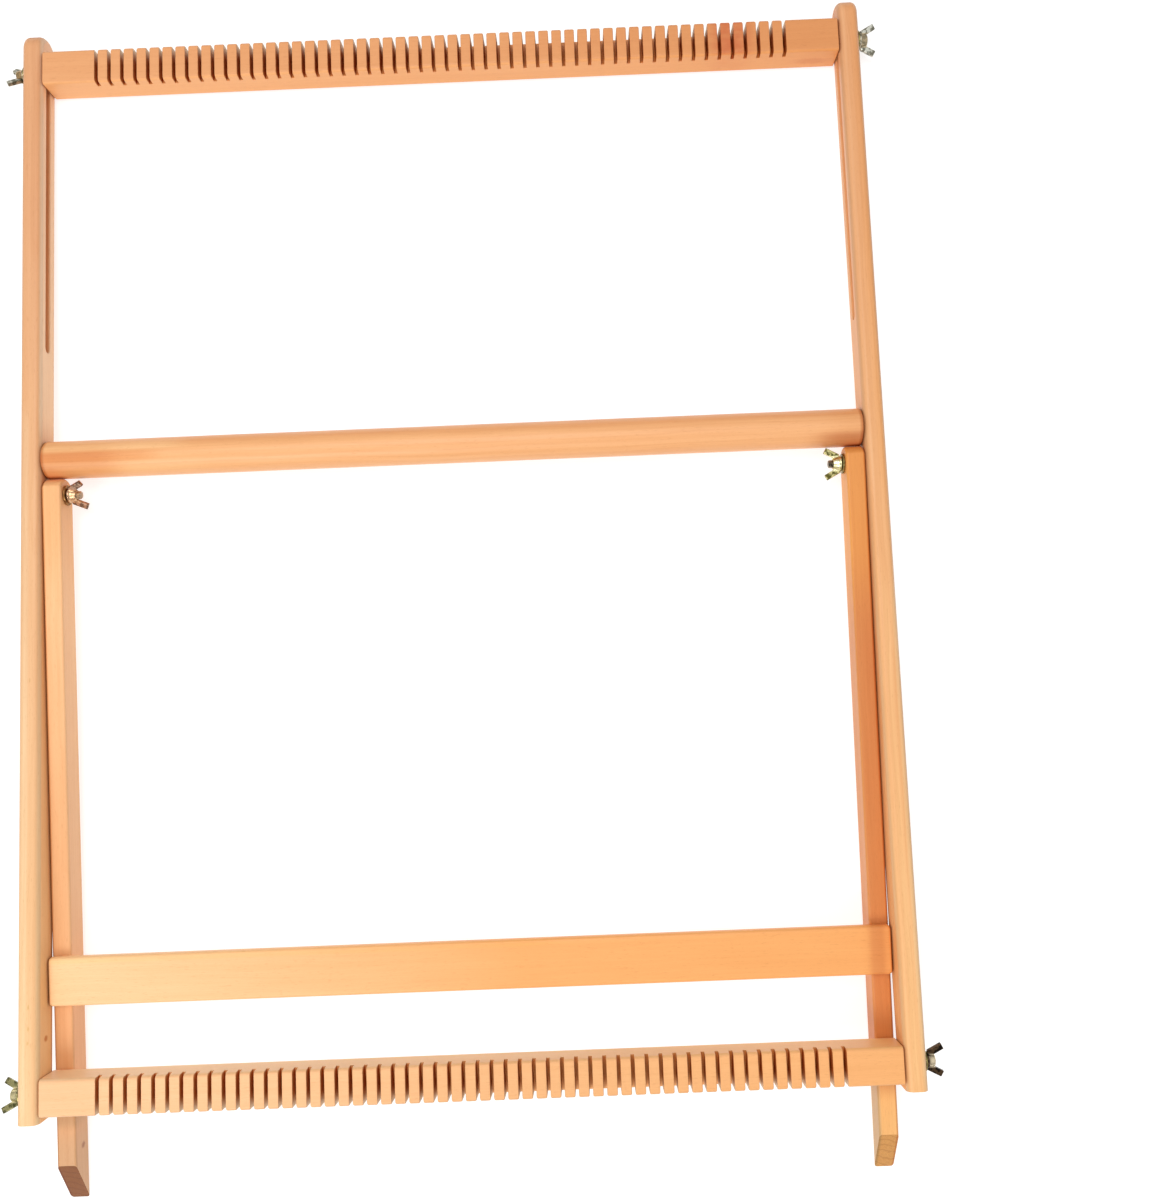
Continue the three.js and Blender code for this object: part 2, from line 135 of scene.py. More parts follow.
def layered(outline, normals, layers, axis):
    """Closed solid of equal outlines stacked along an axis. layers are (place, inset); each outline point moves
    along its own inward normal by inset times its own share."""
    verts, faces, n = [], [], len(outline)
    for place, inset in layers:
        for (u, v), (nu, nv, share) in zip(outline, normals):
            d = min(inset, share)
            p = (u + nu * d, v + nv * d)
            verts.append((place, p[0], p[1]) if axis == "X" else (p[0], p[1], place))
    for k in range(len(layers) - 1):
        for i in range(n):
            j = (i + 1) % n
            faces.append((k * n + i, k * n + j, (k + 1) * n + j, (k + 1) * n + i))
    faces.append(tuple(range(n - 1, -1, -1)))
    faces.append(tuple(range((len(layers) - 1) * n, len(layers) * n)))
    return bm_from(verts, faces)


def round_layers(width, r, steps):
    """(place, inset) pairs of a roundover of radius r on both sides of a slab of that width."""
    side = []
    for i in range(steps + 1):
        a = math.pi / 2 * i / steps
        side.append((width / 2 - r + r * math.sin(a), r - r * math.cos(a)))
    return [(-p, d) for p, d in reversed(side)] + side


def object_of(name, bm):
    me = bpy.data.meshes.new(name)
    bm.to_mesh(me)
    bm.free()
    ob = bpy.data.objects.new(name, me)
    bpy.context.scene.collection.objects.link(ob)
    return ob


def bake_modifiers(ob):
    dg = bpy.context.evaluated_depsgraph_get()
    me = bpy.data.meshes.new_from_object(ob.evaluated_get(dg))
    old = ob.data
    ob.modifiers.clear()
    ob.data = me
    bpy.data.meshes.remove(old)


def cut(ob, *tools):
    """Takes each tool, a bmesh, out of the object."""
    for k, t in enumerate(tools):
        c = object_of("tool", t)
        m = ob.modifiers.new("cut", "BOOLEAN")
        m.operation, m.solver, m.object = "DIFFERENCE", "EXACT", c
        bake_modifiers(ob)
        me = c.data
        bpy.data.objects.remove(c)
        bpy.data.meshes.remove(me)


def join(ob, *tools):
    for t in tools:
        c = object_of("tool", t)
        m = ob.modifiers.new("join", "BOOLEAN")
        m.operation, m.solver, m.object = "UNION", "EXACT", c
        bake_modifiers(ob)
        me = c.data
        bpy.data.objects.remove(c)
        bpy.data.meshes.remove(me)


def moved(bm, *matrices):
    m = Matrix.Identity(4)
    for x in matrices:
        m = m @ x
    bmesh.ops.transform(bm, matrix=m, verts=bm.verts[:])
    if m.determinant() < 0:
        bmesh.ops.reverse_faces(bm, faces=bm.faces[:])
    return bm


def shift(x, y, z):
    return Matrix.Translation((x, y, z))


def turn(deg, axis):
    return Matrix.Rotation(math.radians(deg), 4, axis)


def finish_piece(ob, place, node, body, material, sharp=32.0, weighted=True):
    """Millimetres to metres, into the object's frame, shading, body, slot and material."""
    ob.data.transform(place @ Matrix.Scale(0.001, 4))
    bm = bmesh.new()
    bm.from_mesh(ob.data)
    bmesh.ops.remove_doubles(bm, verts=bm.verts[:], dist=2e-7)
    for f in bm.faces:
        f.smooth = True
    for e in bm.edges:
        e.smooth = len(e.link_faces) == 2 and e.calc_face_angle(0.0) < math.radians(sharp)
    bm.to_mesh(ob.data)
    bm.free()
    if weighted:
        m = ob.modifiers.new("weighted", "WEIGHTED_NORMAL")
        m.keep_sharp, m.weight, m.mode = True, 60, "FACE_AREA"
        bake_modifiers(ob)
    ob.data.materials.clear()
    ob.data.materials.append(material)
    for p in ob.data.polygons:
        p.material_index = 0
    ob.name = ob.data.name = "v_" + node
    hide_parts(node)
    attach(ob, body)
    return ob


# --------------------------------------------------------------------------
# materials
class Tree:
    """A small helper that lays out shader nodes."""

    def __init__(self, name):
        self.mat = bpy.data.materials.new(name)
        self.mat.use_nodes = True
        self.t = self.mat.node_tree
        self.t.nodes.clear()
        self.out = self.t.nodes.new("ShaderNodeOutputMaterial")
        self.bsdf = self.t.nodes.new("ShaderNodeBsdfPrincipled")
        self.t.links.new(self.bsdf.outputs[0], self.out.inputs[0])

    def node(self, kind, **props):
        n = self.t.nodes.new(kind)
        for k, v in props.items():
            setattr(n, k, v)
        return n

    def put(self, socket, value):
        if isinstance(value, bpy.types.NodeSocket):
            self.t.links.new(value, socket)
        elif value is not None:
            socket.default_value = value

    def math(self, op, a, b=None, c=None, clamp=False):
        n = self.node("ShaderNodeMath", operation=op, use_clamp=clamp)
        for s, v in zip(n.inputs, (a, b, c)):
            self.put(s, v)
        return n.outputs[0]

    def vec(self, op, a, b=None):
        n = self.node("ShaderNodeVectorMath", operation=op)
        self.put(n.inputs[0], a)
        if b is not None:
            self.put(n.inputs[1], b)
        return n.outputs["Value"] if op in ("DOT_PRODUCT", "LENGTH", "DISTANCE") else n.outputs[0]

    def combine(self, x, y, z):
        n = self.node("ShaderNodeCombineXYZ")
        for s, v in zip(n.inputs, (x, y, z)):
            self.put(s, v)
        return n.outputs[0]

    def split(self, v):
        n = self.node("ShaderNodeSeparateXYZ")
        self.put(n.inputs[0], v)
        return n.outputs

    def noise(self, v, scale=1.0, detail=2.0, rough=0.5, distortion=0.0):
        n = self.node("ShaderNodeTexNoise")
        n.noise_dimensions = "3D"
        self.put(n.inputs["Vector"], v)
        n.inputs["Scale"].default_value = scale
        n.inputs["Detail"].default_value = detail
        n.inputs["Roughness"].default_value = rough
        n.inputs["Distortion"].default_value = distortion
        return n.outputs["Fac"]

    def remap(self, v, a, b, c=0.0, d=1.0, smooth=True):
        n = self.node("ShaderNodeMapRange", interpolation_type="SMOOTHSTEP" if smooth else "LINEAR")
        n.clamp = True
        for s, x in zip(n.inputs, (v, a, b, c, d)):
            self.put(s, x)
        return n.outputs[0]

    def mix(self, fac, a, b, kind="MIX"):
        n = self.node("ShaderNodeMix", data_type="RGBA", blend_type=kind)
        n.clamp_factor = True
        self.put(n.inputs[0], fac)
        self.put(n.inputs[6], a if isinstance(a, bpy.types.NodeSocket) else (*a, 1.0))
        self.put(n.inputs[7], b if isinstance(b, bpy.types.NodeSocket) else (*b, 1.0))
        return n.outputs[2]


def lin(r, g, b):
    """An 8-bit display colour as linear light."""
    return tuple(((c / 255 + 0.055) / 1.055) ** 2.4 if c > 10 else c / 255 / 12.92 for c in (r, g, b))


def wood(name, along, place, seed, start, end, span, streak=0.5, rings=0.5, fleck=0.5, rough=0.46,
         ring_angle=25.0, spots=(), blush=None, zones=(), ends=(0.78, 0.60, 0.44), crevice_shade=(0.6, (0.60, 0.36, 0.20)), roundover_shade=0.0,
         kerfs=None):
    """Planed beech. along is the grain's axis, place the matrix of the frame or the stand, start and end the tones
    at the two ends of span, in millimetres along the grain, a change of tone that is partly the wood's own and partly
    painted light. spots are small knots and stains, zones broad stripes of tone, of painted shade and of painted
    highlights: each is (axis, middle, half width, from, to, tint, strength), in the piece's own millimetres, and may be
    kept to part of another axis. kerfs is (the middle, the outward sign) of a notched beam. The crevice setting gives
    the strength and tint of painted shade where pieces meet, the roundover setting the strength of painted shade on
    the rounded edges."""
    t = Tree(name)
    tc = t.node("ShaderNodeTexCoord")
    back = place.to_3x3().inverted()
    mp = t.node("ShaderNodeMapping", vector_type="POINT")
    t.put(mp.inputs["Vector"], tc.outputs["Object"])
    mp.inputs["Rotation"].default_value = back.to_euler()
    mp.inputs["Scale"].default_value = (1000, 1000, 1000)
    mp.inputs["Location"].default_value = (back @ place.translation) * -1000
    own = mp.outputs[0]
    x, y, z = t.split(own)
    a, b, l = (x, z, y) if along == "Y" else (y, z, x)
    sa, sb, sl = seed * 37.1, seed * 19.7, seed * 411.3
    a = t.math("ADD", a, sa)
    b = t.math("ADD", b, sb)
    raw = l
    l = t.math("ADD", l, sl)
    p = t.combine(a, b, l)

    # slow wander of the grain, so that no line is dead straight
    wander = t.noise(t.vec("MULTIPLY", p, (0.02, 0.02, 0.006)), 1.0, 2.0)
    drift = t.math("MULTIPLY", t.math("SUBTRACT", wander, 0.5), 9.0)
    aw = t.math("ADD", a, drift)
    bw = t.math("ADD", b, t.math("MULTIPLY", drift, 0.7))
    q = t.combine(aw, bw, l)

    tone = t.noise(t.vec("MULTIPLY", p, (0.05, 0.05, 0.009)), 1.0, 2.0)
    bands = t.noise(t.vec("MULTIPLY", q, (0.42, 0.42, 0.0045)), 1.0, 3.0, 0.55)
    fine = t.noise(t.vec("MULTIPLY", q, (2.6, 2.6, 0.022)), 1.0, 3.0, 0.6)
    hair = t.noise(t.vec("MULTIPLY", q, (9.0, 9.0, 0.12)), 1.0, 2.0, 0.6)
    dash = t.noise(t.vec("MULTIPLY", q, (2.3, 2.3, 0.24)), 1.0, 1.0, 0.5)
    dash = t.remap(dash, 0.63, 0.72)
    pore = t.noise(t.vec("MULTIPLY", q, (6.5, 6.5, 0.9)), 1.0, 1.0, 0.5)
    pore = t.remap(pore, 0.60, 0.70)

    ca, sn = math.cos(math.radians(ring_angle)), math.sin(math.radians(ring_angle))
    ring = t.math("ADD", t.math("MULTIPLY", aw, ca), t.math("MULTIPLY", bw, sn))
    wob = t.noise(t.vec("MULTIPLY", p, (0.09, 0.09, 0.007)), 1.0, 2.0)
    ring = t.math("ADD", ring, t.math("MULTIPLY", wob, 7.0))
    saw = t.math("FRACT", t.math("DIVIDE", ring, 3.1))
    late = t.remap(saw, 0.62, 0.97)
    late = t.math("MULTIPLY", late, t.remap(saw, 1.0, 0.985))

    # tone from start to end along the grain: partly the wood's own, partly painted light
    grad = t.remap(raw, span[0], span[1], 0.0, 1.0, smooth=False)
    base = t.mix(grad, start, end)
    base = t.mix(t.remap(tone, 0.3, 0.7, 0.0, 0.34), base, t.mix(1.0, base, (0.94, 0.86, 0.78), "MULTIPLY"))
    base = t.mix(t.remap(bands, 0.36, 0.60, 0.34 * streak, 0.0), base, t.mix(1.0, base, (0.88, 0.76, 0.63), "MULTIPLY"))
    base = t.mix(t.remap(bands, 0.54, 0.72, 0.0, 0.34 * streak), base, t.mix(1.0, base, (1.06, 1.13, 1.22), "MULTIPLY"))
    # the zones: tone stripes of the wood, and painted shade and painted highlights
    for axis, mid, half, lo, hi, tint, strength, *second in zones:
        c = {"X": x, "Y": y, "Z": z}[axis]
        off = t.math("ABSOLUTE", t.math("SUBTRACT", t.math("ADD", c, t.math("MULTIPLY", drift, 0.12)), mid))
        m = t.remap(off, half * 1.45, half * 0.45)
        if lo is not None:
            m = t.math("MULTIPLY", m, t.remap(raw, lo, lo + min(24, (hi - lo) / 3)))
            m = t.math("MULTIPLY", m, t.remap(raw, hi, hi - min(24, (hi - lo) / 3)))
        for axis2, mid2, half2 in second:
            c2 = {"X": x, "Y": y, "Z": z}[axis2]
            m = t.math("MULTIPLY", m, t.remap(t.math("ABSOLUTE", t.math("SUBTRACT", c2, mid2)), half2 * 1.3, half2 * 0.7))
        base = t.mix(t.math("MULTIPLY", m, strength), base, t.mix(1.0, base, tint, "MULTIPLY"))
    base = t.mix(t.math("MULTIPLY", late, 0.40 * rings), base, t.mix(1.0, base, (0.86, 0.72, 0.57), "MULTIPLY"))
    base = t.mix(t.remap(fine, 0.35, 0.65, 0.28, 0.0), base, t.mix(1.0, base, (0.91, 0.82, 0.73), "MULTIPLY"))
    base = t.mix(t.math("MULTIPLY", dash, 0.42 * fleck), base, t.mix(1.0, base, (0.68, 0.49, 0.33), "MULTIPLY"))
    base = t.mix(t.math("MULTIPLY", pore, 0.20 * fleck), base, t.mix(1.0, base, (0.74, 0.58, 0.42), "MULTIPLY"))

    # the cut ends of the fibres are darker, with pores as dots and rings as arcs
    axis = place.to_3x3() @ Vector((0, 1, 0) if along == "Y" else (1, 0, 0))
    facing = t.math("ABSOLUTE", t.vec("DOT_PRODUCT", tc.outputs["Normal"], tuple(axis)))
    if isinstance(ends[0], tuple):     # one tint for the slanting lower end, one for the rounded top
        where = t.remap(raw, span[0] + 60, span[0] + 90)
        end_mask = t.math("ADD", t.math("MULTIPLY", where, t.remap(facing, 0.62, 0.9)),
                          t.math("MULTIPLY", t.math("SUBTRACT", 1.0, where), t.remap(facing, 0.42, 0.54)), clamp=True)
    else:
        end_mask = t.remap(facing, 0.50, 0.86)
    dots = t.noise(t.vec("MULTIPLY", p, (3.2, 3.2, 1.2)), 1.0, 2.0, 0.6)
    grainy = t.remap(dots, 0.40, 0.68, 0.0, 1.0)
    if isinstance(ends[0], tuple):
        low, high = ends
        e0 = t.mix(where, low, high)
        e1 = t.mix(where, tuple(v * k for v, k in zip(low, (0.78, 0.70, 0.62))),
                   tuple(v * k for v, k in zip(high, (0.90, 0.84, 0.78))))
    else:
        e0, e1 = ends, tuple(v * k for v, k in zip(ends, (0.78, 0.70, 0.62)))
    end_col = t.mix(grainy, t.mix(1.0, base, e0, "MULTIPLY"), t.mix(1.0, base, e1, "MULTIPLY"))
    end_col = t.mix(t.math("MULTIPLY", late, 0.45), end_col, t.mix(1.0, end_col, (0.72, 0.60, 0.48), "MULTIPLY"))
    base = t.mix(end_mask, base, end_col)

    if blush:   # a warmer patch along the grain: (from, to, strength)
        m = t.math("MULTIPLY", t.remap(raw, blush[0], blush[0] + 14), t.remap(raw, blush[1], blush[1] - 14))
        patch = t.noise(t.vec("MULTIPLY", p, (0.3, 0.3, 0.12)), 1.0, 2.0)
        m = t.math("MULTIPLY", m, t.remap(patch, 0.25, 0.6, 0.5 * blush[2], blush[2]))
        front = t.vec("DOT_PRODUCT", tc.outputs["Normal"], tuple(place.to_3x3() @ Vector((0, 0, 1))))
        m = t.math("MULTIPLY", m, t.remap(front, 0.3, 0.8, 0.25, 1.0))
        base = t.mix(m, base, t.mix(1.0, base, (0.84, 0.50, 0.42), "MULTIPLY"))
    grit = t.noise(p, 1.1, 2.0)
    for (cx, cy, cz), (rx, ry, rz), tint, strength in spots:
        dv = t.vec("SUBTRACT", own, (cx, cy, cz))
        dist = t.vec("LENGTH", t.vec("MULTIPLY", dv, (1 / rx, 1 / ry, 1 / rz)))
        m = t.remap(t.math("ADD", dist, t.math("MULTIPLY", t.math("SUBTRACT", grit, 0.5), 0.9)), 1.25, 0.40)
        base = t.mix(t.math("MULTIPLY", m, strength), base, t.mix(1.0, base, tint, "MULTIPLY"))

    if roundover_shade:   # painted shade: the rounded-over long edges are made greyer and darker where they turn away from the front
        up = t.math("ABSOLUTE", t.vec("DOT_PRODUCT", tc.outputs["Normal"], tuple(place.to_3x3() @ Vector((0, 0, 1)))))
        m = t.math("MULTIPLY", t.remap(up, 0.93, 0.55), t.remap(up, 0.02, 0.2))
        m = t.math("MULTIPLY", m, t.math("SUBTRACT", 1.0, end_mask))
        if kerfs:
            inner = t.vec("DOT_PRODUCT", tc.outputs["Normal"],
                          tuple(place.to_3x3() @ Vector((0, -kerfs[1] * 0.7071, 0.7071))))
            m = t.math("MULTIPLY", m, t.remap(inner, 0.75, 0.5))
        base = t.mix(t.math("MULTIPLY", m, roundover_shade), base, t.mix(1.0, base, (0.82, 0.90, 1.02), "MULTIPLY"))
    if crevice_shade[0]:   # painted shade: darker and less glossy where pieces meet and in recesses, from ambient occlusion
        ao = t.node("ShaderNodeAmbientOcclusion", samples=6, inside=False)
        ao.inputs["Distance"].default_value = 0.0032
        crevice_shade_mask = t.remap(ao.outputs["AO"], 0.62, 0.18, 0.0, crevice_shade[0])
        if kerfs:   # in the saw cuts the painted shade fades out towards the side where they open and stays at their closed end; near the open side the cut walls get a pale painted light tone
            u = t.math("MULTIPLY", t.math("SUBTRACT", y, kerfs[0]), kerfs[1])
            open_end = t.remap(u, 1.0, 9.5)
            wall = t.math("MULTIPLY", t.remap(facing, 0.8, 0.95), t.remap(t.math("ABSOLUTE", x), 214.5, 213.5))
            crevice_shade_mask = t.math("MULTIPLY", crevice_shade_mask, t.math("SUBTRACT", 1.0, open_end))
            base = t.mix(t.math("MULTIPLY", t.math("MULTIPLY", open_end, wall), 0.8), base, (0.95, 0.80, 0.58))
        base = t.mix(crevice_shade_mask, base, t.mix(1.0, base, crevice_shade[1], "MULTIPLY"))

    # the edges are made lighter and a little glossier: partly wear, partly painted highlight
    edge = t.node("ShaderNodeBevel", samples=4)
    edge.inputs["Radius"].default_value = 0.0007
    flat = t.node("ShaderNodeNewGeometry").outputs["Normal"]
    wear_and_highlight = t.math("SUBTRACT", 1.0, t.vec("DOT_PRODUCT", edge.outputs[0], flat))
    wear_and_highlight = t.remap(wear_and_highlight, 0.012, 0.16)
    rub_and_highlight = t.noise(t.vec("MULTIPLY", p, (0.35, 0.35, 0.08)), 1.0, 2.0)
    wear_and_highlight = t.math("MULTIPLY", wear_and_highlight, t.remap(rub_and_highlight, 0.35, 0.65, 0.25, 1.0))
    base = t.mix(t.math("MULTIPLY", wear_and_highlight, 0.30), base, t.mix(1.0, base, (1.08, 1.16, 1.26), "MULTIPLY"))

    r = t.math("ADD", t.math("MULTIPLY", t.math("SUBTRACT", fine, 0.5), 0.22), rough)
    r = t.math("ADD", r, t.math("MULTIPLY", t.math("SUBTRACT", tone, 0.5), 0.16))
    r = t.math("ADD", r, t.math("MULTIPLY", end_mask, 0.16))
    r = t.math("SUBTRACT", r, t.math("MULTIPLY", wear_and_highlight, 0.08), clamp=True)

    h = t.math("MULTIPLY", hair, 0.35)
    h = t.math("ADD", h, t.math("MULTIPLY", fine, 0.5))
    h = t.math("SUBTRACT", h, t.math("MULTIPLY", dash, 0.5))
    h = t.math("SUBTRACT", h, t.math("MULTIPLY", pore, 0.35))
    h = t.math("SUBTRACT", h, t.math("MULTIPLY", t.math("MULTIPLY", grainy, end_mask), 1.1))
    bump = t.node("ShaderNodeBump")
    bump.inputs["Strength"].default_value = 0.5
    bump.inputs["Distance"].default_value = 0.00006
    t.put(bump.inputs["Height"], h)

    t.put(t.bsdf.inputs["Base Color"], base)
    t.put(t.bsdf.inputs["Roughness"], r)
    t.put(t.bsdf.inputs["Normal"], bump.outputs[0])
    t.bsdf.inputs["IOR"].default_value = 1.46
    if crevice_shade[0]:
        t.put(t.bsdf.inputs["Specular IOR Level"], t.math("MULTIPLY", t.math("SUBTRACT", 1.0, crevice_shade_mask, clamp=True), 0.42))
        t.put(t.bsdf.inputs["Coat Weight"], t.math("MULTIPLY", t.math("SUBTRACT", 1.0, crevice_shade_mask, clamp=True), 0.12))
    else:
        t.bsdf.inputs["Specular IOR Level"].default_value = 0.42
        t.bsdf.inputs["Coat Weight"].default_value = 0.12
    t.bsdf.inputs["Coat Roughness"].default_value = 0.34
    return t.mat


def metal(name, colour, second, rough, seed, dull=0.5, hub=None, rub_and_highlight=0.35):
    """Plated steel: two tints that drift over the surface, turning marks, small scratches, painted shade in the
    hollows, and lighter, shinier edges that are partly wear and partly painted highlight.
    """
    t = Tree(name)
    co = t.node("ShaderNodeTexCoord").outputs["Object"]
    mm = t.vec("MULTIPLY", co, (1000, 1000, 1000))
    mm = t.vec("ADD", mm, (seed * 13.0, seed * 7.0, seed * 5.0))
    cloud = t.noise(mm, 0.42, 3.0, 0.55)
    speck = t.noise(mm, 2.6, 3.0, 0.6)
    marks = t.noise(t.vec("MULTIPLY", mm, (0.5, 6.0, 6.0)), 1.0, 2.0, 0.5)
    base = t.mix(t.remap(cloud, 0.42, 0.58), colour, second)
    if hub:     # painted highlight: a lighter tint on the hub around the nut's axis; (height of the nut's axis on the frame, radius, colour)
        axis = LOOM @ Vector((0, hub[0] / 1000, 0))
        away = t.vec("MULTIPLY", t.vec("SUBTRACT", co, tuple(axis)), (0, 1000, 1000))
        core = t.remap(t.vec("LENGTH", away), hub[1] + 0.5, hub[1] - 0.4)
        base = t.mix(core, base, t.mix(t.remap(cloud, 0.45, 0.62, 0.0, 0.5), hub[2], second))
    base = t.mix(t.remap(speck, 0.55, 0.75, 0.0, dull), base, t.mix(1.0, base, (0.55, 0.52, 0.46), "MULTIPLY"))
    # painted shade: darker in the hollows and at the roots of the wings, from ambient occlusion
    ao = t.node("ShaderNodeAmbientOcclusion", samples=4, inside=False)
    ao.only_local = True
    ao.inputs["Distance"].default_value = 0.0022
    base = t.mix(t.remap(ao.outputs["AO"], 0.7, 0.25, 0.0, 0.6), base, t.mix(1.0, base, (0.34, 0.31, 0.24), "MULTIPLY"))
    # the edges are made lighter and less rough: partly wear, partly painted highlight
    edge = t.node("ShaderNodeBevel", samples=4)
    edge.inputs["Radius"].default_value = 0.00035
    flat = t.node("ShaderNodeNewGeometry").outputs["Normal"]
    wear_and_highlight = t.remap(t.math("SUBTRACT", 1.0, t.vec("DOT_PRODUCT", edge.outputs[0], flat)), 0.02, 0.2)
    base = t.mix(t.math("MULTIPLY", wear_and_highlight, rub_and_highlight), base, (0.62, 0.58, 0.50))
    r = t.math("ADD", rough, t.math("MULTIPLY", t.math("SUBTRACT", cloud, 0.5), 0.30))
    r = t.math("ADD", r, t.math("MULTIPLY", t.math("SUBTRACT", speck, 0.5), 0.16))
    r = t.math("SUBTRACT", r, t.math("MULTIPLY", wear_and_highlight, 0.10), clamp=True)
    bump = t.node("ShaderNodeBump")
    bump.inputs["Strength"].default_value = 0.35
    bump.inputs["Distance"].default_value = 0.00004
    t.put(bump.inputs["Height"], t.math("ADD", t.math("MULTIPLY", speck, 0.7), t.math("MULTIPLY", marks, 0.5)))
    t.put(t.bsdf.inputs["Base Color"], base)
    t.put(t.bsdf.inputs["Roughness"], r)
    t.put(t.bsdf.inputs["Normal"], bump.outputs[0])
    t.bsdf.inputs["Metallic"].default_value = 1.0
    return t.mat


KNOT = (0.60, 0.26, 0.10)
TAN = (0.84, 0.80, 0.62)
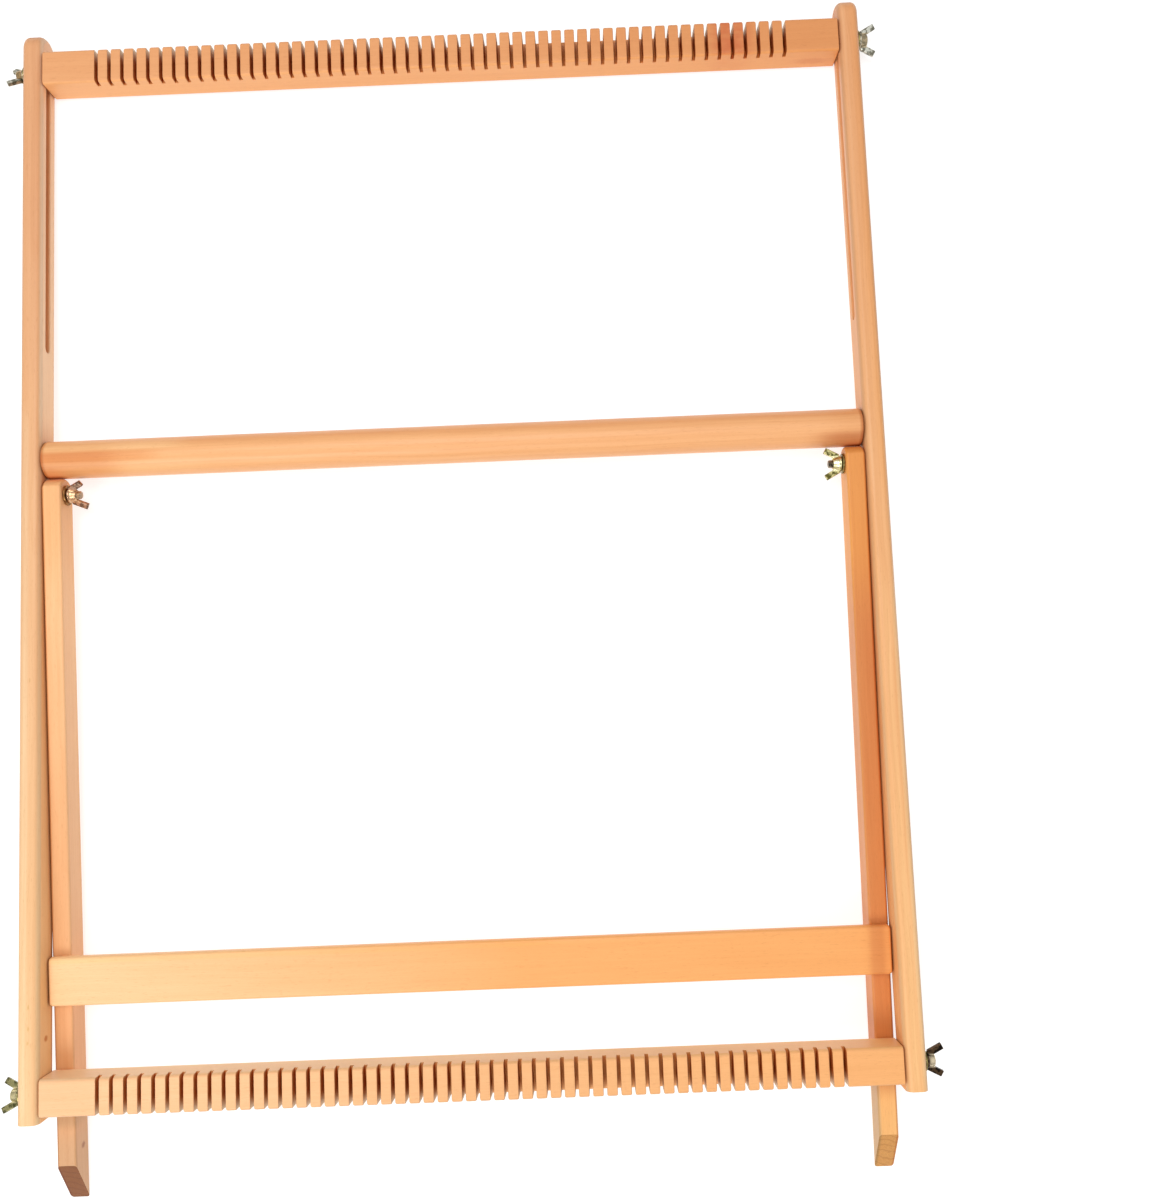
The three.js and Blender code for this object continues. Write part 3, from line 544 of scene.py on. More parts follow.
# painted shade in the saw cuts and joints of the beams: (strength, tint) of the darkening from ambient occlusion
KERF_SHADE = (1.0, (0.92, 0.50, 0.09))
WOOD = {
    "left_rail": wood("beech_left_rail", "Y", LOOM, 1.0, lin(246, 202, 150), lin(230, 171, 124), (30, 540),
                      streak=0.6, rings=0.3, ring_angle=70, roundover_shade=0.9,
                      # painted light and shade on the inner side: the zones at -243.9 pale it, the zone at -244.6 is a
                      # painted shade line along its back beside the leg
                      zones=(("X", -252.3, 1.9, -10, 420, (1.02, 1.15, 1.28), 0.85),
                             ("X", -248.6, 1.6, 420, 660, (0.96, 0.93, 0.92), 0.7),
                             ("X", -245.6, 2.0, -10, 640, (0.97, 0.90, 0.84), 0.5),
                             ("X", -243.9, 1.2, 385, 660, (1.18, 1.44, 1.72), 1.0),
                             ("X", -243.9, 1.2, -20, 330, (1.05, 1.08, 1.02), 0.7),
                             ("X", -244.6, 1.3, -20, 374, (0.55, 0.36, 0.22), 0.9, ("Z", -9.0, 1.9))),
                      ends=(0.84, 0.72, 0.60),
                      spots=(((-244, 44.9, -0.2), (2.0, 1.9, 2.4), KNOT, 0.85),
                             ((-249.4, 64.9, 10), (0.7, 1.5, 1), TAN, 0.8), ((-249.3, 53.0, 10), (0.7, 1.6, 1), TAN, 0.8),
                             ((-249.6, 45.2, 10), (0.7, 1.2, 1), TAN, 0.8), ((-249.2, 250, 10), (0.6, 1.6, 1), TAN, 0.5))),
    "right_rail": wood("beech_right_rail", "Y", LOOM, 2.0, lin(246, 189, 129), lin(231, 167, 115), (40, 600),
                       streak=0.8, rings=0.4, ring_angle=10, roundover_shade=0.9,
                       zones=(("X", 249.6, 1.8, -10, 300, (1.03, 1.09, 1.12), 0.8),
                              ("X", 254.4, 1.5, -10, 300, (1.03, 1.18, 1.34), 0.8),
                              ("X", 253.2, 2.4, 330, 660, (1.0, 0.96, 0.86), 0.8),
                              ("X", 246.6, 1.5, 330, 660, (1.02, 1.08, 1.16), 0.8),
                              # painted shade: a dark line along the back of the inner side beside the leg
                              ("X", 244.6, 1.3, -20, 374, (0.55, 0.36, 0.22), 0.9, ("Z", -9.0, 1.9))),
                       ends=(0.84, 0.72, 0.60)),
    "top_beam": wood("beech_top_beam", "X", LOOM, 3.0, lin(235, 169, 115), lin(225, 151, 92), (-244, 244),
                     streak=0.35, rings=0.15, ring_angle=35, blush=(160, 196, 0.85), crevice_shade=KERF_SHADE, roundover_shade=0.8,
                     kerfs=(TOP_BEAM_Y, 1),
                     zones=(("Y", TOP_BEAM_Y - BEAM_HEIGHT / 2, 0.9, None, None, (1.13, 1.18, 1.12), 1.0),),
                     spots=(((228, 613.7, -1.5), (11, 3, 3.5), (0.86, 0.70, 0.62), 0.6),)),
    "bottom_beam": wood("beech_bottom_beam", "X", LOOM, 4.0, lin(250, 199, 150), lin(247, 180, 114), (-244, 244),
                        streak=0.35, rings=0.15, ring_angle=60, crevice_shade=KERF_SHADE, roundover_shade=0.8,
                        kerfs=(BOTTOM_BEAM_Y, -1),
                        zones=(("Y", BOTTOM_BEAM_Y + BEAM_HEIGHT / 2, 0.9, None, None, (0.97, 1.11, 1.22), 1.0),
                               ("X", 10, 150, None, None, (0.92, 0.90, 0.86), 0.7))),
    "mid_bar": wood("beech_mid_bar", "X", LOOM, 5.0, lin(247, 185, 127), lin(244, 181, 125), (-244, 244),
                    streak=0.7, rings=0.4, ring_angle=20, rough=0.38,
                    # painted light and shade: a light band along the upper side is a painted highlight and a pale line
                    # low down at the left is painted light; the darker bands below the light band and along the lower
                    # side near both ends, and the dark lines at both ends where the bar meets the rails, are painted
                    # shade; the top and the right end are also a little darker
                    zones=(("Y", BAR_Y + 5.6, 3.0, -290, -150, (1.06, 1.18, 1.28), 1.0),
                           ("Y", BAR_Y - 1.0, 3.0, -290, -165, (0.93, 0.80, 0.68), 1.0),
                           ("Y", BAR_Y - 5.0, 9.5, -300, -188, (0.88, 0.74, 0.63), 0.9),
                           ("Y", BAR_Y - 8.0, 2.0, -206, -140, (1.0, 1.07, 1.12), 0.8),
                           ("X", -243.2, 1.7, None, None, (0.70, 0.50, 0.34), 0.9),
                           ("X", 243.2, 1.7, None, None, (0.70, 0.50, 0.34), 0.9),
                           ("Y", BAR_Y, 14.0, 214, 300, (0.94, 0.89, 0.83), 0.9),
                           ("Y", BAR_Y + 9.6, 4.0, None, None, (0.96, 0.86, 0.80), 0.8),
                           ("Y", BAR_Y - 10.0, 5.4, 206, 290, (0.70, 0.50, 0.40), 0.85),
                           ("Y", BAR_Y - 9.5, 3.6, -290, -222, (0.88, 0.74, 0.64), 0.7))),
    "left_leg": wood("beech_left_leg", "Y", STAND, 6.0, lin(227, 167, 116), lin(251, 196, 143), (-400, -60),
                     streak=0.5, rings=0.3, ring_angle=80, ends=((0.43, 0.27, 0.146), (0.92, 0.80, 0.78)), roundover_shade=0.5,
                     crevice_shade=(0.25, (0.80, 0.60, 0.45)),
                     # painted shade: the zone at -362 is shade under the bottom beam, the zone at -243.2 a dark line
                     # along the outer side next to the rail
                     zones=(("Y", -400, 34, None, None, (0.80, 0.93, 1.06), 0.8),
                            ("Y", -362, 7, None, None, (0.76, 0.82, 0.80), 0.8),
                            ("Y", 12, 60, None, None, (0.96, 0.88, 0.77), 0.9),
                            ("X", -243.2, 0.9, None, None, (0.74, 0.52, 0.34), 0.85)),
                     spots=(((-232.4, -383.0, -1.1), (2.5, 2.0, 2.4), (0.50, 0.28, 0.16), 0.85),)),
    "right_leg": wood("beech_right_leg", "Y", STAND, 7.0, lin(246, 189, 120), lin(214, 133, 71), (-372, -345),
                      streak=0.6, rings=0.4, ring_angle=75, ends=((0.79, 0.70, 0.48), (0.96, 0.88, 0.82)), roundover_shade=0.3,
                      crevice_shade=(0.25, (0.80, 0.60, 0.45)),
                      # painted shade: the zone at 243.2 is a dark line along the outer side next to the rail, and the
                      # zone at the foot darkens the inner side; above the foot the inner side is made lighter
                      zones=(("Y", -5, 72, None, None, (1.19, 1.34, 1.16), 1.0),
                             ("X", 243.2, 0.9, None, None, (0.80, 0.60, 0.42), 0.85),
                             ("X", 232.2, 1.0, -330, 20, (1.10, 1.22, 1.26), 0.9),
                             ("X", 232.2, 1.5, -430, -338, (0.60, 0.66, 0.74), 0.9))),
    "stand_board": wood("beech_board", "X", STAND, 8.0, lin(252, 207, 155), lin(247, 174, 103), (-215, 30),
                        streak=0.3, rings=0.15, ring_angle=85, fleck=0.6,
                        # painted shade: the zone at 235 darkens the board over the right leg, and the dark lines at
                        # both ends lie next to the rails; the right end is also darker overall
                        zones=(("Y", -BOARD_FROM_PIVOT + BOARD_HEIGHT / 2 - 2.0, 1.6, -280, 60, (1.0, 1.0, 0.88), 0.7),
                               ("X", 243.5, 14.0, None, None, (0.90, 0.83, 0.74), 0.95),
                               ("X", 235.0, 4.4, None, None, (0.86, 0.76, 0.72), 0.95),
                               ("X", 243.8, 1.1, None, None, (0.66, 0.46, 0.30), 0.95),
                               ("X", -243.8, 0.9, None, None, (0.74, 0.56, 0.40), 0.9))),
}
# the hub colours are painted highlights on the hubs
NUTS = {
    "top_left": metal("zinc_nut_1", lin(190, 186, 168), lin(100, 98, 80), 0.36, 1.0, hub=(TOP_BEAM_Y, 4.4, lin(214, 176, 124)), rub_and_highlight=0.3),
    "top_right": metal("zinc_nut_2", lin(212, 212, 200), lin(116, 114, 100), 0.36, 1.7, hub=(TOP_BEAM_Y, 4.4, lin(206, 186, 150)), rub_and_highlight=0.3),
    "bottom_left": metal("zinc_nut_3", lin(160, 154, 108), lin(80, 80, 50), 0.32, 2.9, hub=(BOTTOM_BEAM_Y, 4.2, lin(255, 240, 186)), rub_and_highlight=0.2),
    "bottom_right": metal("zinc_nut_4", lin(92, 72, 52), lin(34, 28, 24), 0.28, 3.4, hub=(BOTTOM_BEAM_Y, 4.0, lin(255, 236, 200)), rub_and_highlight=0.12),
    "left_pivot": metal("zinc_nut_5", lin(206, 170, 144), lin(124, 100, 84), 0.36, 4.1, hub=(PIVOT_Y, 4.5, lin(226, 184, 142)), rub_and_highlight=0.2),
    "right_pivot": metal("zinc_nut_6", lin(216, 206, 144), lin(92, 88, 44), 0.30, 5.3, hub=(PIVOT_Y, 4.7, lin(255, 248, 196)), rub_and_highlight=0.15),
}
BOLT = metal("zinc_bolts", lin(150, 138, 116), lin(96, 88, 70), 0.32, 2.0)
PALE_BOLT = metal("zinc_bolt_left", lin(220, 192, 160), lin(160, 132, 104), 0.40, 2.6, rub_and_highlight=0.2)
WASH = metal("zinc_washers", lin(176, 160, 104), lin(120, 110, 66), 0.32, 3.0)
DARK_WASH = metal("zinc_washer_left", lin(190, 146, 92), lin(140, 100, 58), 0.46, 3.6, rub_and_highlight=0.15)
SCREW = metal("screw_zinc", lin(160, 156, 148), lin(112, 108, 98), 0.36, 4.0)
BRASS = metal("insert_brass", lin(196, 160, 96), lin(150, 116, 60), 0.34, 5.0)


# --------------------------------------------------------------------------
# wood pieces
def side_outline(points):
    """Adds to each (u, v, share) point its inward normal, taken from its neighbours."""
    n, out = len(points), []
    for i, (u, v, share) in enumerate(points):
        a, b = points[i - 1], points[(i + 1) % n]
        e0 = Vector((u - a[0], v - a[1])).normalized()
        e1 = Vector((b[0] - u, b[1] - v)).normalized()
        n0, n1 = Vector((-e0.y, e0.x)), Vector((-e1.y, e1.x))     # left of a counter-clockwise walk
        s = n0 + n1
        s.normalize()
        k = 1.0 / max(0.35, s.dot(n0))
        out.append((s.x * k, s.y * k, share))
    return [(p[0], p[1]) for p in points], out


def slot_tool(width, depth, low, high, rim=0.35):
    """A long round-ended slot through a slab, with a broken rim on both faces."""
    def outline(r):
        pts = [(high - width / 2 + x, y) for x, y in arc(0, 0, r, -90, 90, 16)]
        pts += [(low + width / 2 + x, y) for x, y in arc(0, 0, r, 90, 270, 16)]
        return pts
    verts, faces = [], []
    half = depth / 2
    levels = [(-half - 1.5, rim + 1.5), (-half + rim, 0), (half - rim, 0), (half + 1.5, rim + 1.5)]
    for x, grow in levels:
        verts += [(x, u, v) for u, v in outline(width / 2 + grow)]
    n = len(verts) // len(levels)
    for k in range(len(levels) - 1):
        for i in range(n):
            j = (i + 1) % n
            faces.append((k * n + i, k * n + j, (k + 1) * n + j, (k + 1) * n + i))
    faces.append(tuple(range(n - 1, -1, -1)))
    faces.append(tuple(range((len(levels) - 1) * n, len(levels) * n)))
    return bm_from(verts, faces)


def rail(side):
    r = RAIL_DEPTH / 2
    pts = [(0.0, -r, 0.6), (RAIL_LENGTH - r, -r, 99)]
    pts += [(RAIL_LENGTH - r + u, v, 99) for u, v in arc(0, 0, r, -90, 90, 28)[1:-1]]
    pts += [(RAIL_LENGTH - r, r, 99), (0.0, r, 0.6)]
    outline, normals = side_outline(pts)
    # at the square foot the roundover moves only across the rail, not up from its end
    normals[0] = (0.0, 1.0, 99)
    normals[-1] = (0.0, -1.0, 99)
    # the roundover is smaller along the back than along the front, and changes over evenly around the top
    radii = [RAIL_BACK_EDGE + (RAIL_EDGE - RAIL_BACK_EDGE) * (v / r + 1) / 2 for u, v in outline]
    steps = [(-1, 90 - 10 * i) for i in range(10)] + [(1, 10 * i) for i in range(10)]
    verts, faces, n = [], [], len(outline)
    for sign, a in steps:
        a = math.radians(a)
        for (u, v), (nu, nv, share), e in zip(outline, normals, radii):
            d = min(e - e * math.cos(a), share)
            verts.append((sign * (RAIL_WIDTH / 2 - e + e * math.sin(a)), u + nu * d, v + nv * d))
    for k in range(len(steps) - 1):
        for i in range(n):
            j = (i + 1) % n
            faces.append((k * n + i, k * n + j, (k + 1) * n + j, (k + 1) * n + i))
    faces.append(tuple(range(n - 1, -1, -1)))
    faces.append(tuple(range((len(steps) - 1) * n, len(steps) * n)))
    ob = object_of("rail", bm_from(verts, faces))
    h = RAIL_WIDTH / 2
    stud_hole = turned([(-h - 1, 0), (-h - 1, 4.25), (-h + 0.35, 2.9), (h - 0.35, 2.9), (h + 1, 4.25), (h + 1, 0)], 32)
    s = float(side)
    pivot = turned([(-h - 1, 0), (-h - 1, 4.25), (-h + 0.35, 2.9), (h - 3.0, 2.9), (h - 0.25, 5.15), (h + 1, 6.6), (h + 1, 0)], 48)
    bar = turned([(-h - 1, 0), (-h - 1, 2.2), (h - 2.6, 2.2), (h - 0.25, 4.1), (h + 1, 5.6), (h + 1, 0)], 40)
    if s < 0:
        moved(pivot, turn(180, "Z"))
        moved(bar, turn(180, "Z"))
    cut(ob, slot_tool(SLOT_WIDTH, RAIL_WIDTH, SLOT_BOTTOM, SLOT_TOP),
        moved(stud_hole, shift(0, BOTTOM_BEAM_Y, 0)),
        moved(pivot, shift(0, PIVOT_Y, 0)), moved(bar, shift(0, BAR_Y, 0)))
    chamfer_foot(ob)
    return ob


def chamfer_foot(ob):
    """Breaks the sawn edges of the square foot."""
    bm = bmesh.new()
    bm.from_mesh(ob.data)
    edges = [e for e in bm.edges if all(abs(v.co.y) < 1e-4 for v in e.verts) and len(e.link_faces) == 2
             and e.calc_face_angle(0) > 0.5]
    bmesh.ops.bevel(bm, geom=edges, offset=0.45, segments=2, profile=0.5, affect="EDGES", clamp_overlap=True)
    bm.to_mesh(ob.data)
    bm.free()


def leg():
    t = LEG_DEPTH / 2
    spread = math.degrees(math.asin(t / LEG_TOP_RADIUS))
    pts = [(-LEG_FRONT_LENGTH, t, 99), (-LEG_BACK_LENGTH, -t, 99)]
    pts += [(u, v, 99) for u, v in arc(0, 0, LEG_TOP_RADIUS, -spread, spread, 22)]
    outline, normals = side_outline(pts)
    # the slanting toe is sawn after the edges are rounded: its points slide along the cut
    slope = Vector((-LEG_BACK_LENGTH + LEG_FRONT_LENGTH, -2 * t)).normalized()
    k = 1 / abs(slope.y)
    normals[0] = (slope.x * k, slope.y * k, 99)
    normals[1] = (-slope.x * k, -slope.y * k, 99)
    bm = layered(outline, normals, round_layers(LEG_WIDTH, LEG_EDGE, 8), "X")
    ob = object_of("leg", bm)
    h = LEG_WIDTH / 2
    tools = [turned([(-h - 1, 0), (-h - 1, 4.15), (-h + 0.3, 2.9), (h - 0.3, 2.9), (h + 1, 4.15), (h + 1, 0)], 32)]
    for dy in BOARD_SCREWS:
        c = turned([(-t - 1, 0), (-t - 1, 4.9), (-t + 0.1, 3.75), (-t + 2.2, 1.9), (t + 1, 1.9), (t + 1, 0)], 36)
        tools.append(moved(c, shift(0, -BOARD_FROM_PIVOT + dy, 0), turn(-90, "Y")))
    cut(ob, *tools)
    bm = bmesh.new()
    bm.from_mesh(ob.data)
    n = Vector((0, slope.y, -slope.x))
    edges = [e for e in bm.edges if len(e.link_faces) == 2 and e.calc_face_angle(0) > 0.35
             and all(v.co.y < -LEG_FRONT_LENGTH + 0.01
                     and abs((v.co - Vector((0, -LEG_FRONT_LENGTH, t))).dot(n)) < 1e-3 for v in e.verts)]
    bmesh.ops.bevel(bm, geom=edges, offset=0.4, segments=2, profile=0.5, affect="EDGES", clamp_overlap=True)
    bm.to_mesh(ob.data)
    bm.free()
    return ob


def board():
    length = 2 * (HALF - LEG_GAP)
    w, h, r = length / 2, BOARD_HEIGHT / 2, BOARD_EDGE
    pts = []
    for cx, cy, a in ((w - r, h - r, 0), (-w + r, h - r, 90), (-w + r, -h + r, 180), (w - r, -h + r, 270)):
        pts += [(x, y, 99) for x, y in arc(cx, cy, r, a, a + 90, 7)]
    outline, normals = side_outline(pts)
    bm = layered(outline, normals, round_layers(BOARD_THICKNESS, 1.9, 7), "Z")
    ob = object_of("board", bm)
    tools = []
    for x in (-LEG_X, LEG_X):
        for dy in BOARD_SCREWS:
            c = turned([(-BOARD_THICKNESS, 0), (-BOARD_THICKNESS, 1.9), (BOARD_THICKNESS / 2 - 1.6, 1.9),
                        (BOARD_THICKNESS / 2 - 1.6, 0)], 20)
            tools.append(moved(c, shift(x, dy, 0), turn(-90, "Y")))
    cut(ob, *tools)
    return ob


def beam(toward, tip=0.9):
    """A notched beam: rounded section along X, kerfs with broken edges, teeth rounded at their outer corners by
    tip, holes for the inserts in both ends."""
    H, D, r = BEAM_HEIGHT / 2, BEAM_DEPTH / 2, BEAM_EDGE
    slope = (KERF_DEEP - KERF_SHALLOW) / BEAM_HEIGHT
    eps = 0.42

    def floor_at(y):
        return D - (KERF_SHALLOW + slope * (H - toward * y))

    def ring_points(cy, cz, a0):
        return [(cy + r * math.cos(math.radians(a0 + 90 * i / 6)), cz + r * math.sin(math.radians(a0 + 90 * i / 6)),
                 math.cos(math.radians(a0 + 90 * i / 6)), math.sin(math.radians(a0 + 90 * i / 6))) for i in range(7)]
    front = [(H, floor_at(H), 1, 0)] + ring_points(H - r, D - r, 0) + ring_points(-H + r, D - r, 90) \
        + [(-H, floor_at(-H), -1, 0)]
    back = ring_points(-H + r, -D + r, 180) + ring_points(H - r, -D + r, 270)
    nf, nb = len(front), len(back)
    verts, faces = [], []

    def grow(y, z, ny):
        """How much larger the rounding is than at the front: the outer side of a tooth is sanded rounder."""
        out = max(0.0, -toward * ny)
        return 1.0 + (tip / eps - 1.0) * out

    def station(edge, dx, inset, whole):
        ids = []
        x = edge + dx
        for k, (y, z, ny, nz) in enumerate(front):
            free = whole or 0 < k < nf - 1
            g = 1.0 if whole else grow(y, z, ny)
            d = inset * g if free else 0.0
            ids.append(len(verts))
            verts.append((edge + dx * g if free else x, y - ny * d, z - nz * d))
        for y, z, ny, nz in back:
            d = inset if whole else 0.0
            ids.append(len(verts))
            verts.append((x, y - ny * d, z - nz * d))
        return ids

    def skin(a, b, part):
        n = nf + nb
        for i in range(n):
            j = (i + 1) % n
            in_front = i < nf - 1
            if part == "back" and in_front:
                continue
            faces.append((a[i], a[j], b[j], b[i]))

    def rounds(e):
        return [(e, 0.0), (e * 0.617, e * 0.076), (e * 0.293, e * 0.293), (e * 0.076, e * 0.617), (0.0, e)]

    end = 0.6
    edges = [-CROSS / 2]
    for i in range(KERF_COUNT):
        x = (i - (KERF_COUNT - 1) / 2) * KERF_PITCH
        edges += [x - KERF_WIDTH / 2, x + KERF_WIDTH / 2]
    edges.append(CROSS / 2)
    last = None
    for k in range(0, len(edges), 2):
        xa, xb = edges[k], edges[k + 1]
        first_block, last_block = k == 0, k + 2 == len(edges)
        row = []
        ra = rounds(end if first_block else eps)
        rb = rounds(end if last_block else eps)
        for dx, d in reversed(ra):
            row.append(station(xa, dx, d, first_block))
        for dx, d in rb:
            row.append(station(xb, -dx, d, last_block))
        for a, b in zip(row, row[1:]):
            skin(a, b, "all")
        if first_block:
            faces.append(tuple(row[0]))
        else:
            faces.append(tuple(row[0][:nf]))
            skin(last, row[0], "back")
            faces.append((last[0], row[0][0], row[0][nf - 1], last[nf - 1]))
        if last_block:
            faces.append(tuple(reversed(row[-1])))
        else:
            faces.append(tuple(reversed(row[-1][:nf])))
        last = row[-1]
    ob = object_of("beam", bm_from(verts, faces))
    tools = []
    for s in (-1, 1):
        f = s * CROSS / 2
        lo, hi = min(f + s, f - s * (INSERT_LENGTH + 4)), max(f + s, f - s * (INSERT_LENGTH + 4))
        tools.append(turned([(lo, 0), (lo, 4.3), (hi, 4.3), (hi, 0)], 32))
    cut(ob, *tools)
    return ob


def middle_bar():
    h, r, c = CROSS / 2, BAR_RADIUS, 1.2
    prof = [(h - 34, 0), (h - 34, 2.2), (h, 2.2), (h, r - c)]
    prof += [(h - c + c * math.sin(a), r - c + c * math.cos(a)) for a in [math.pi / 2 * (1 - i / 5) for i in range(1, 6)]]
    # a lathe leaves the diameter a few hundredths uneven along the bar
    for i in range(1, 24):
        x = (h - c) * (1 - 2 * i / 24)
        prof.append((x, r - 0.03 + 0.03 * math.cos(i * 1.7)))
    prof += [(-x, rr) for x, rr in reversed(prof[:9])]
    return object_of("bar", turned(prof, 72))


# --------------------------------------------------------------------------
# hardware, all along +X, which points away from the wood
def threaded(x0, x1, thread_from, thread_to, major=2.5, minor=2.06, pitch=0.8, segs=28, chamfer=0.7, head=None):
    """A rod with a real helical thread over part of its length; head is an optional list of (x, radius) before x0."""
    rows = []
    if head:
        rows += [(x, [r] * segs) for x, r in head]
    else:
        rows.append((x0, [major - 0.6] * segs))
        rows.append((x0 + 0.5, [major - 0.1] * segs))
    rows.append((thread_from - 0.4, [major - 0.08] * segs))
    step = pitch / 8
    n = int(round((thread_to - thread_from) / step))
    for i in range(n + 1):
        x = thread_from + i * (thread_to - thread_from) / n
        row = []
        for k in range(segs):
            ph = (x / pitch - k / segs) % 1.0
            w = abs(ph - 0.5) * 2                      # 1 at the root, 0 at the crest
            w = min(1.0, max(0.0, (w - 0.14) / 0.74))
            r = major + (minor - major) * w
            fade = min(1.0, (x - thread_from) / 0.8)
            r = major - 0.08 + (r - major + 0.08) * fade
            r = min(r, major - max(0.0, x - (x1 - chamfer)) * 0.9)
            row.append(r)
        rows.append((x, row))
    verts, faces = [], []
    for x, row in rows:
        for k in range(segs):
            a = 2 * math.pi * k / segs
            verts.append((x, row[k] * math.cos(a), row[k] * math.sin(a)))
    for j in range(len(rows) - 1):
        for k in range(segs):
            m = (k + 1) % segs
            faces.append((j * segs + k, j * segs + m, (j + 1) * segs + m, (j + 1) * segs + k))
    faces.append(tuple(range(segs)))
    faces.append(tuple(range((len(rows) - 1) * segs, len(rows) * segs)))
    return bm_from(verts, faces)


def cross_recess(width, size, depth):
    """The tapered cross that a screwdriver fits, opening towards +X at x = 0."""
    verts, faces = [], []
    def cross(x, w, s):
        base = len(verts)
        for y, z in ((s, w), (w, w), (w, s), (-w, s), (-w, w), (-s, w), (-s, -w), (-w, -w), (-w, -s), (w, -s), (w, -w), (s, -w)):
            verts.append((x, y, z))
        return list(range(base, base + 12))
    a = cross(0.6, width * 1.1, size * 1.18)
    b = cross(-depth, width * 0.55, size * 0.42)
    for i in range(12):
        j = (i + 1) % 12
        faces.append((a[i], a[j], b[j], b[i]))
    faces.append(tuple(reversed(a)))
    faces.append(tuple(b))
    return bm_from(verts, faces)


def ring(x0, x1, inner, outer, e, segs=56):
    """A washer or sleeve with rounded rims."""
    def corner(cx, cr, a0):
        return [(cx + e * math.cos(math.radians(a0 + 30 * i)), cr + e * math.sin(math.radians(a0 + 30 * i))) for i in range(4)]
    prof = corner(x1 - e, outer - e, 0)[::-1] + corner(x1 - e, inner + e, 270)[::-1] \
        + corner(x0 + e, inner + e, 180)[::-1] + corner(x0 + e, outer - e, 90)[::-1]
    return turned(prof, segs)


def wing_nut():
    """A forged wing nut: coned hub, two splayed square-ended wings, all edges softened and fillets at the roots."""
    hub = turned([(0, 0), (0, 4.3), (0.25, 4.55), (1.0, 4.55), (1.6, 4.0), (NUT_HEIGHT - 0.3, 3.35), (NUT_HEIGHT, 3.15), (NUT_HEIGHT, 0)], 48)
    ob = object_of("nut", hub)
    wing = [(0.9, 3.0), (3.5, 2.95), (10.2, 6.65), (8.55, 9.75), (0.9, 5.6)]
    for s in (-1, 1):
        verts, faces = [], []
        for z, grow in ((-1.2, -0.25), (-0.95, 0.0), (0.95, 0.0), (1.2, -0.25)):
            cx = sum(p[0] for p in wing) / len(wing)
            cr = sum(p[1] for p in wing) / len(wing)
            for x, r in wing:
                d = Vector((x - cx, r - cr))
                d *= (d.length + grow) / d.length
                verts.append((cx + d.x, s * (cr + d.y), z))
        n = len(wing)
        for k in range(3):
            for i in range(n):
                j = (i + 1) % n
                faces.append((k * n + i, k * n + j, (k + 1) * n + j, (k + 1) * n + i))
        faces.append(tuple(range(n - 1, -1, -1)))
        faces.append(tuple(range(3 * n, 4 * n)))
        join(ob, bm_from(verts, faces))
    m = ob.modifiers.new("even", "REMESH")
    m.mode, m.voxel_size, m.adaptivity = "VOXEL", 0.2, 0.0
    bake_modifiers(ob)
    m = ob.modifiers.new("soft", "SMOOTH")
    m.factor, m.iterations = 0.5, 3
    bake_modifiers(ob)
    m = ob.modifiers.new("fewer", "DECIMATE")
    m.ratio = 0.22
    bake_modifiers(ob)
    cut(ob, turned([(-1, 0), (-1, 4.0), (0.5, 2.68), (NUT_HEIGHT - 0.5, 2.68), (NUT_HEIGHT + 1, 4.1), (NUT_HEIGHT + 1, 0)], 40))
    me = ob.data.copy()
    bpy.data.objects.remove(ob)
    return me


def copy_of(mesh, name):
    ob = bpy.data.objects.new(name, mesh.copy())
    bpy.context.scene.collection.objects.link(ob)
    return ob


def mm(m):
    """A placing matrix with its offset in millimetres, for use after the frame's own matrix in metres."""
    out = m.copy()
    out.translation = out.translation / 1000
    return out


# --------------------------------------------------------------------------
# the object
for side, word in ((-1, "left"), (1, "right")):
    n = word + "_rail"
    finish_piece(rail(side), LOOM @ mm(shift(side * RAIL_X, 0, 0)), n, "frame", WOOD[n])
    n = word + "_leg"
    finish_piece(leg(), STAND @ mm(shift(side * LEG_X, 0, 0)), n, "stand", WOOD[n])
finish_piece(beam(-1), LOOM @ mm(shift(0, TOP_BEAM_Y, 0)), "top_beam", "top_beam", WOOD["top_beam"])
finish_piece(beam(1), LOOM @ mm(shift(0, BOTTOM_BEAM_Y, 0)), "bottom_beam", "frame", WOOD["bottom_beam"])
finish_piece(middle_bar(), LOOM @ mm(shift(0, BAR_Y, 0)), "mid_bar", "frame", WOOD["mid_bar"])
finish_piece(board(), STAND @ mm(shift(0, -BOARD_FROM_PIVOT, LEG_DEPTH / 2 + FACE_GAP + BOARD_THICKNESS / 2)),
             "stand_board", "stand", WOOD["stand_board"])

NUT = wing_nut()
for row, y in (("top", TOP_BEAM_Y), ("bottom", BOTTOM_BEAM_Y)):
    for side, word in ((-1, "left"), (1, "right")):
        name = row + "_" + word
        held = LOOM @ mm(shift(side * OUTER, y, 0)) @ turn(0 if side > 0 else 180, "Y")
        carrier = "top_studs" if row == "top" else "frame"
        beam_body = "top_beam" if row == "top" else "frame"
        face = CROSS / 2 - OUTER
        stud = threaded(face - INSERT_LENGTH + 1, WASHER_THICKNESS + NUT_HEIGHT + 0.8, -2.0, WASHER_THICKNESS + NUT_HEIGHT + 0.8)
        finish_piece(object_of("stud", stud), held, name + "_stud", carrier, BOLT, sharp=40)
        ins = ring(-INSERT_LENGTH, 0, 2.8, 4.0, 0.2, 32)
        finish_piece(object_of("insert", ins), held @ mm(shift(face - 0.2, 0, 0)), name + "_insert", beam_body, BRASS)
        finish_piece(object_of("washer", ring(0, WASHER_THICKNESS, 2.75, 6.0, 0.22)), held @ mm(shift(FACE_GAP, 0, 0)),
                     name + "_washer", name + "_washer", WASH)
        finish_piece(copy_of(NUT, "nut"), held @ mm(shift(FACE_GAP * 2 + WASHER_THICKNESS, 0, 0)) @ turn(side * NUT_TURN[name], "X"),
                     name + "_wing_nut", name + "_wing_nut", NUTS[name], sharp=50)

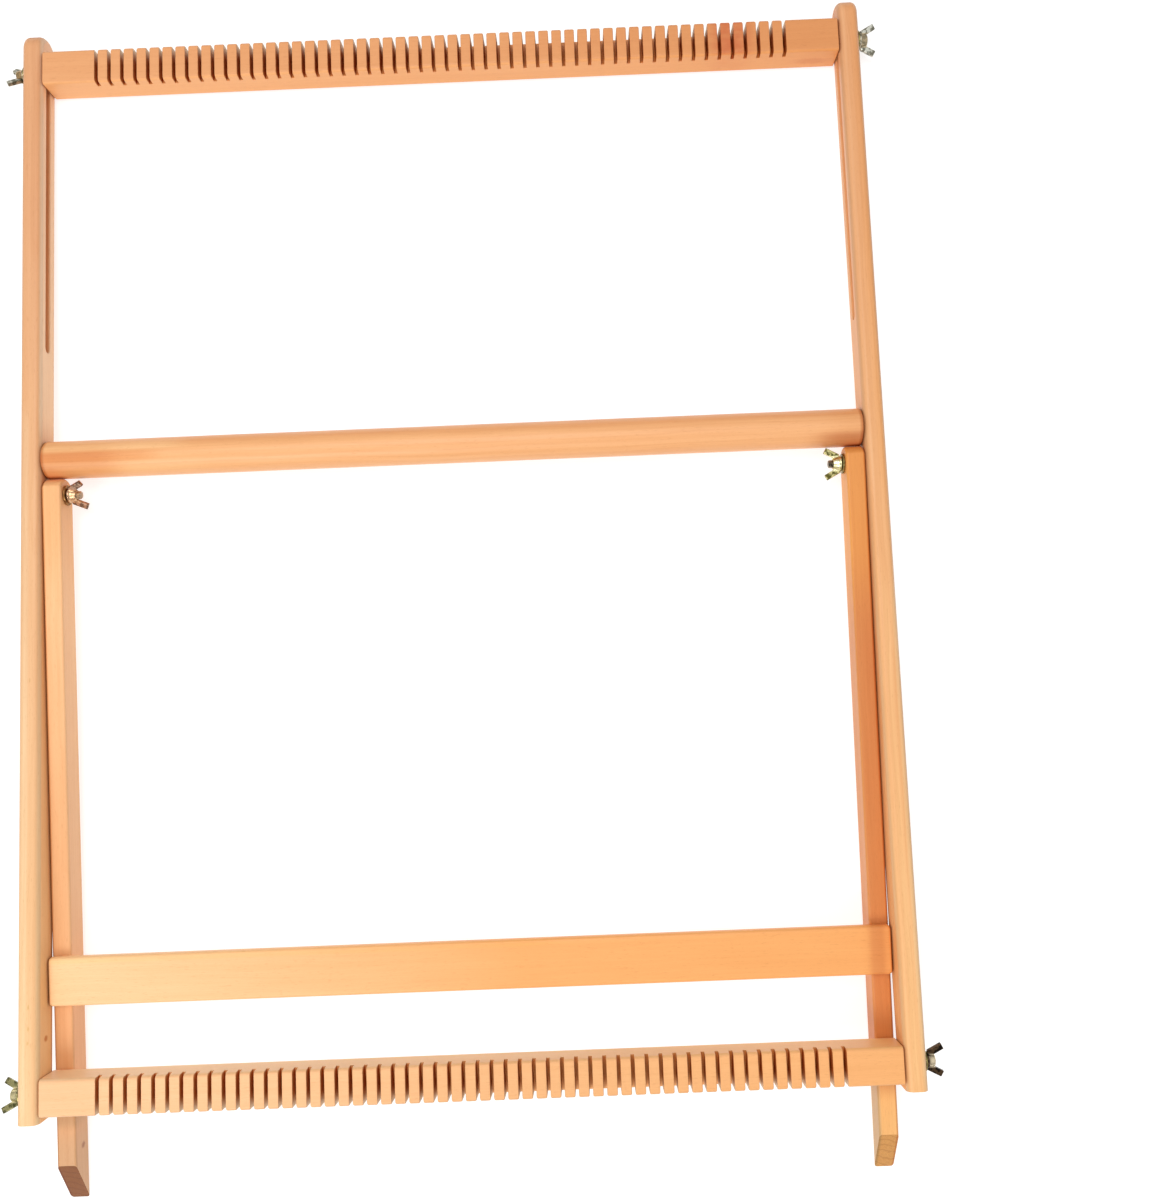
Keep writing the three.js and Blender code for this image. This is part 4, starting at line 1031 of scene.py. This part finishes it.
for side, word in ((-1, "left"), (1, "right")):
    inward = turn(180 if side > 0 else 0, "Y")
    g = LOOM @ mm(shift(side * OUTER, PIVOT_Y, 0)) @ inward
    reach = RAIL_WIDTH + LEG_GAP + LEG_WIDTH
    tip = reach + WASHER_THICKNESS + NUT_HEIGHT + 3.2
    bolt = threaded(0.2, tip, reach - 3, tip, head=[(0.2, 4.45), (0.32, 4.58), (0.55, 4.58), (2.65, 2.45)])
    ob = object_of("bolt", bolt)
    cut(ob, moved(cross_recess(0.62, 2.5, 1.7), shift(0.2, 0, 0), turn(180, "Z")))
    finish_piece(ob, g, word + "_pivot_bolt", "frame", BOLT if side > 0 else PALE_BOLT, sharp=40)
    finish_piece(object_of("washer", ring(0, WASHER_THICKNESS, 2.75, 6.0, 0.22)), g @ mm(shift(reach + FACE_GAP, 0, 0)),
                 word + "_pivot_washer", word + "_pivot_washer", WASH if side > 0 else DARK_WASH)
    finish_piece(copy_of(NUT, "nut"), g @ mm(shift(reach + 2 * FACE_GAP + WASHER_THICKNESS, 0, 0)) @ turn(-side * NUT_TURN[word + "_pivot"], "X"),
                 word + "_pivot_wing_nut", word + "_pivot_wing_nut", NUTS[word + "_pivot"], sharp=50)

    def screw(length, head_radius, head_depth, shank, point):
        """Countersunk screw, rim of its head at x = 0, point at -length, cross recess in the head."""
        prof = [(-length, 0), (-length + point, shank), (-head_depth, shank), (-0.42, head_radius - 0.02), (-0.2, head_radius), (-0.06, head_radius - 0.1),
                (0, head_radius - 0.3), (0, 0)]
        s = object_of("screw", turned(prof, 44))
        cut(s, cross_recess(head_radius * 0.155, head_radius * 0.6, head_depth * 0.8))
        return s
    sg = LOOM @ mm(shift(side * (OUTER - 0.2), BAR_Y, 0)) @ turn(0 if side > 0 else 180, "Y")
    finish_piece(screw(44, 3.6, 2.1, 1.85, 5), sg, word + "_bar_screw", "frame", SCREW)
    for dy, w in zip(BOARD_SCREWS, ("lower", "upper")):
        s = STAND @ mm(shift(side * LEG_X, -BOARD_FROM_PIVOT + dy, -LEG_DEPTH / 2 + 0.2)) @ turn(90, "Y") @ turn(20 + 50 * (dy > 0), "X")
        finish_piece(screw(LEG_DEPTH + FACE_GAP + BOARD_THICKNESS - 2.2, 3.1, 1.8, 1.5, 4), s,
                     word + "_board_screw_" + w, "stand", SCREW)

# --------------------------------------------------------------------------
# floor, light and camera
floor_mat = Tree("pale_floor")
floor_mat.bsdf.inputs["Base Color"].default_value = (0.45, 0.45, 0.45, 1)
floor_mat.bsdf.inputs["Roughness"].default_value = 0.9
floor_mat.bsdf.inputs["Specular IOR Level"].default_value = 0.1
floor_mat.bsdf.inputs["Emission Color"].default_value = (1, 1, 1, 1)
floor_mat.bsdf.inputs["Emission Strength"].default_value = 0.72
bm = bmesh.new()
bmesh.ops.create_grid(bm, x_segments=2, y_segments=2, size=6)
floor = object_of("floor", bm)
floor.data.materials.append(floor_mat.mat)

world = bpy.data.worlds.new("studio")
bpy.context.scene.world = world
world.use_nodes = True
wt = world.node_tree
wt.nodes.clear()
wo = wt.nodes.new("ShaderNodeOutputWorld")
bg = wt.nodes.new("ShaderNodeBackground")
tc = wt.nodes.new("ShaderNodeTexCoord")
sp = wt.nodes.new("ShaderNodeSeparateXYZ")
rp = wt.nodes.new("ShaderNodeMapRange")
wt.links.new(tc.outputs["Generated"], sp.inputs[0])
wt.links.new(sp.outputs[2], rp.inputs[0])
for s, v in zip(rp.inputs[1:5], (0.0, 0.75, 0.22, 1.0)):
    s.default_value = v
wt.links.new(rp.outputs[0], bg.inputs["Color"])
bg.inputs["Strength"].default_value = 0.70
wt.links.new(bg.outputs[0], wo.inputs[0])


def lamp(name, at, to, size, power, colour=(1, 1, 1)):
    d = bpy.data.lights.new(name, "AREA")
    d.shape, d.size, d.energy, d.color = "DISK", size, power, colour
    o = bpy.data.objects.new(name, d)
    bpy.context.scene.collection.objects.link(o)
    o.location = at
    o.rotation_mode = "QUATERNION"
    o.rotation_quaternion = (Vector(to) - Vector(at)).to_track_quat("-Z", "Y")


lamp("key", (-0.16, 0.42, 1.65), (-0.02, 0.0, 0.0), 0.85, 10.0, (1.0, 0.99, 0.97))
lamp("fill", (-0.5, -1.1, 1.2), (-0.05, 0.0, 0.0), 0.8, 9.0, (1.0, 1.0, 1.0))

cam_data = bpy.data.cameras.new("camera")
cam = bpy.data.objects.new("camera", cam_data)
bpy.context.scene.collection.objects.link(cam)
cam_data.sensor_width, cam_data.lens = 36.0, 34.62257
cam_data.clip_start, cam_data.clip_end = 0.02, 40.0
CAM_ROWS = ((0.99916382, 0.04055477, 0.00519305), (-0.04016534, 0.99734576, -0.06073044),
            (-0.00764218, 0.06047108, 0.99814069))
m = Matrix([(*r, 0) for r in CAM_ROWS] + [(0, 0, 0, 1)])
cam.matrix_world = Matrix.Translation((0.0748206, -0.0524081, 0.7026179)) @ m
bpy.context.scene.camera = cam

scene = bpy.context.scene
scene.view_settings.view_transform = "Standard"
scene.view_settings.look = "None"
scene.view_settings.exposure = 0.0
scene.view_settings.gamma = 1.0
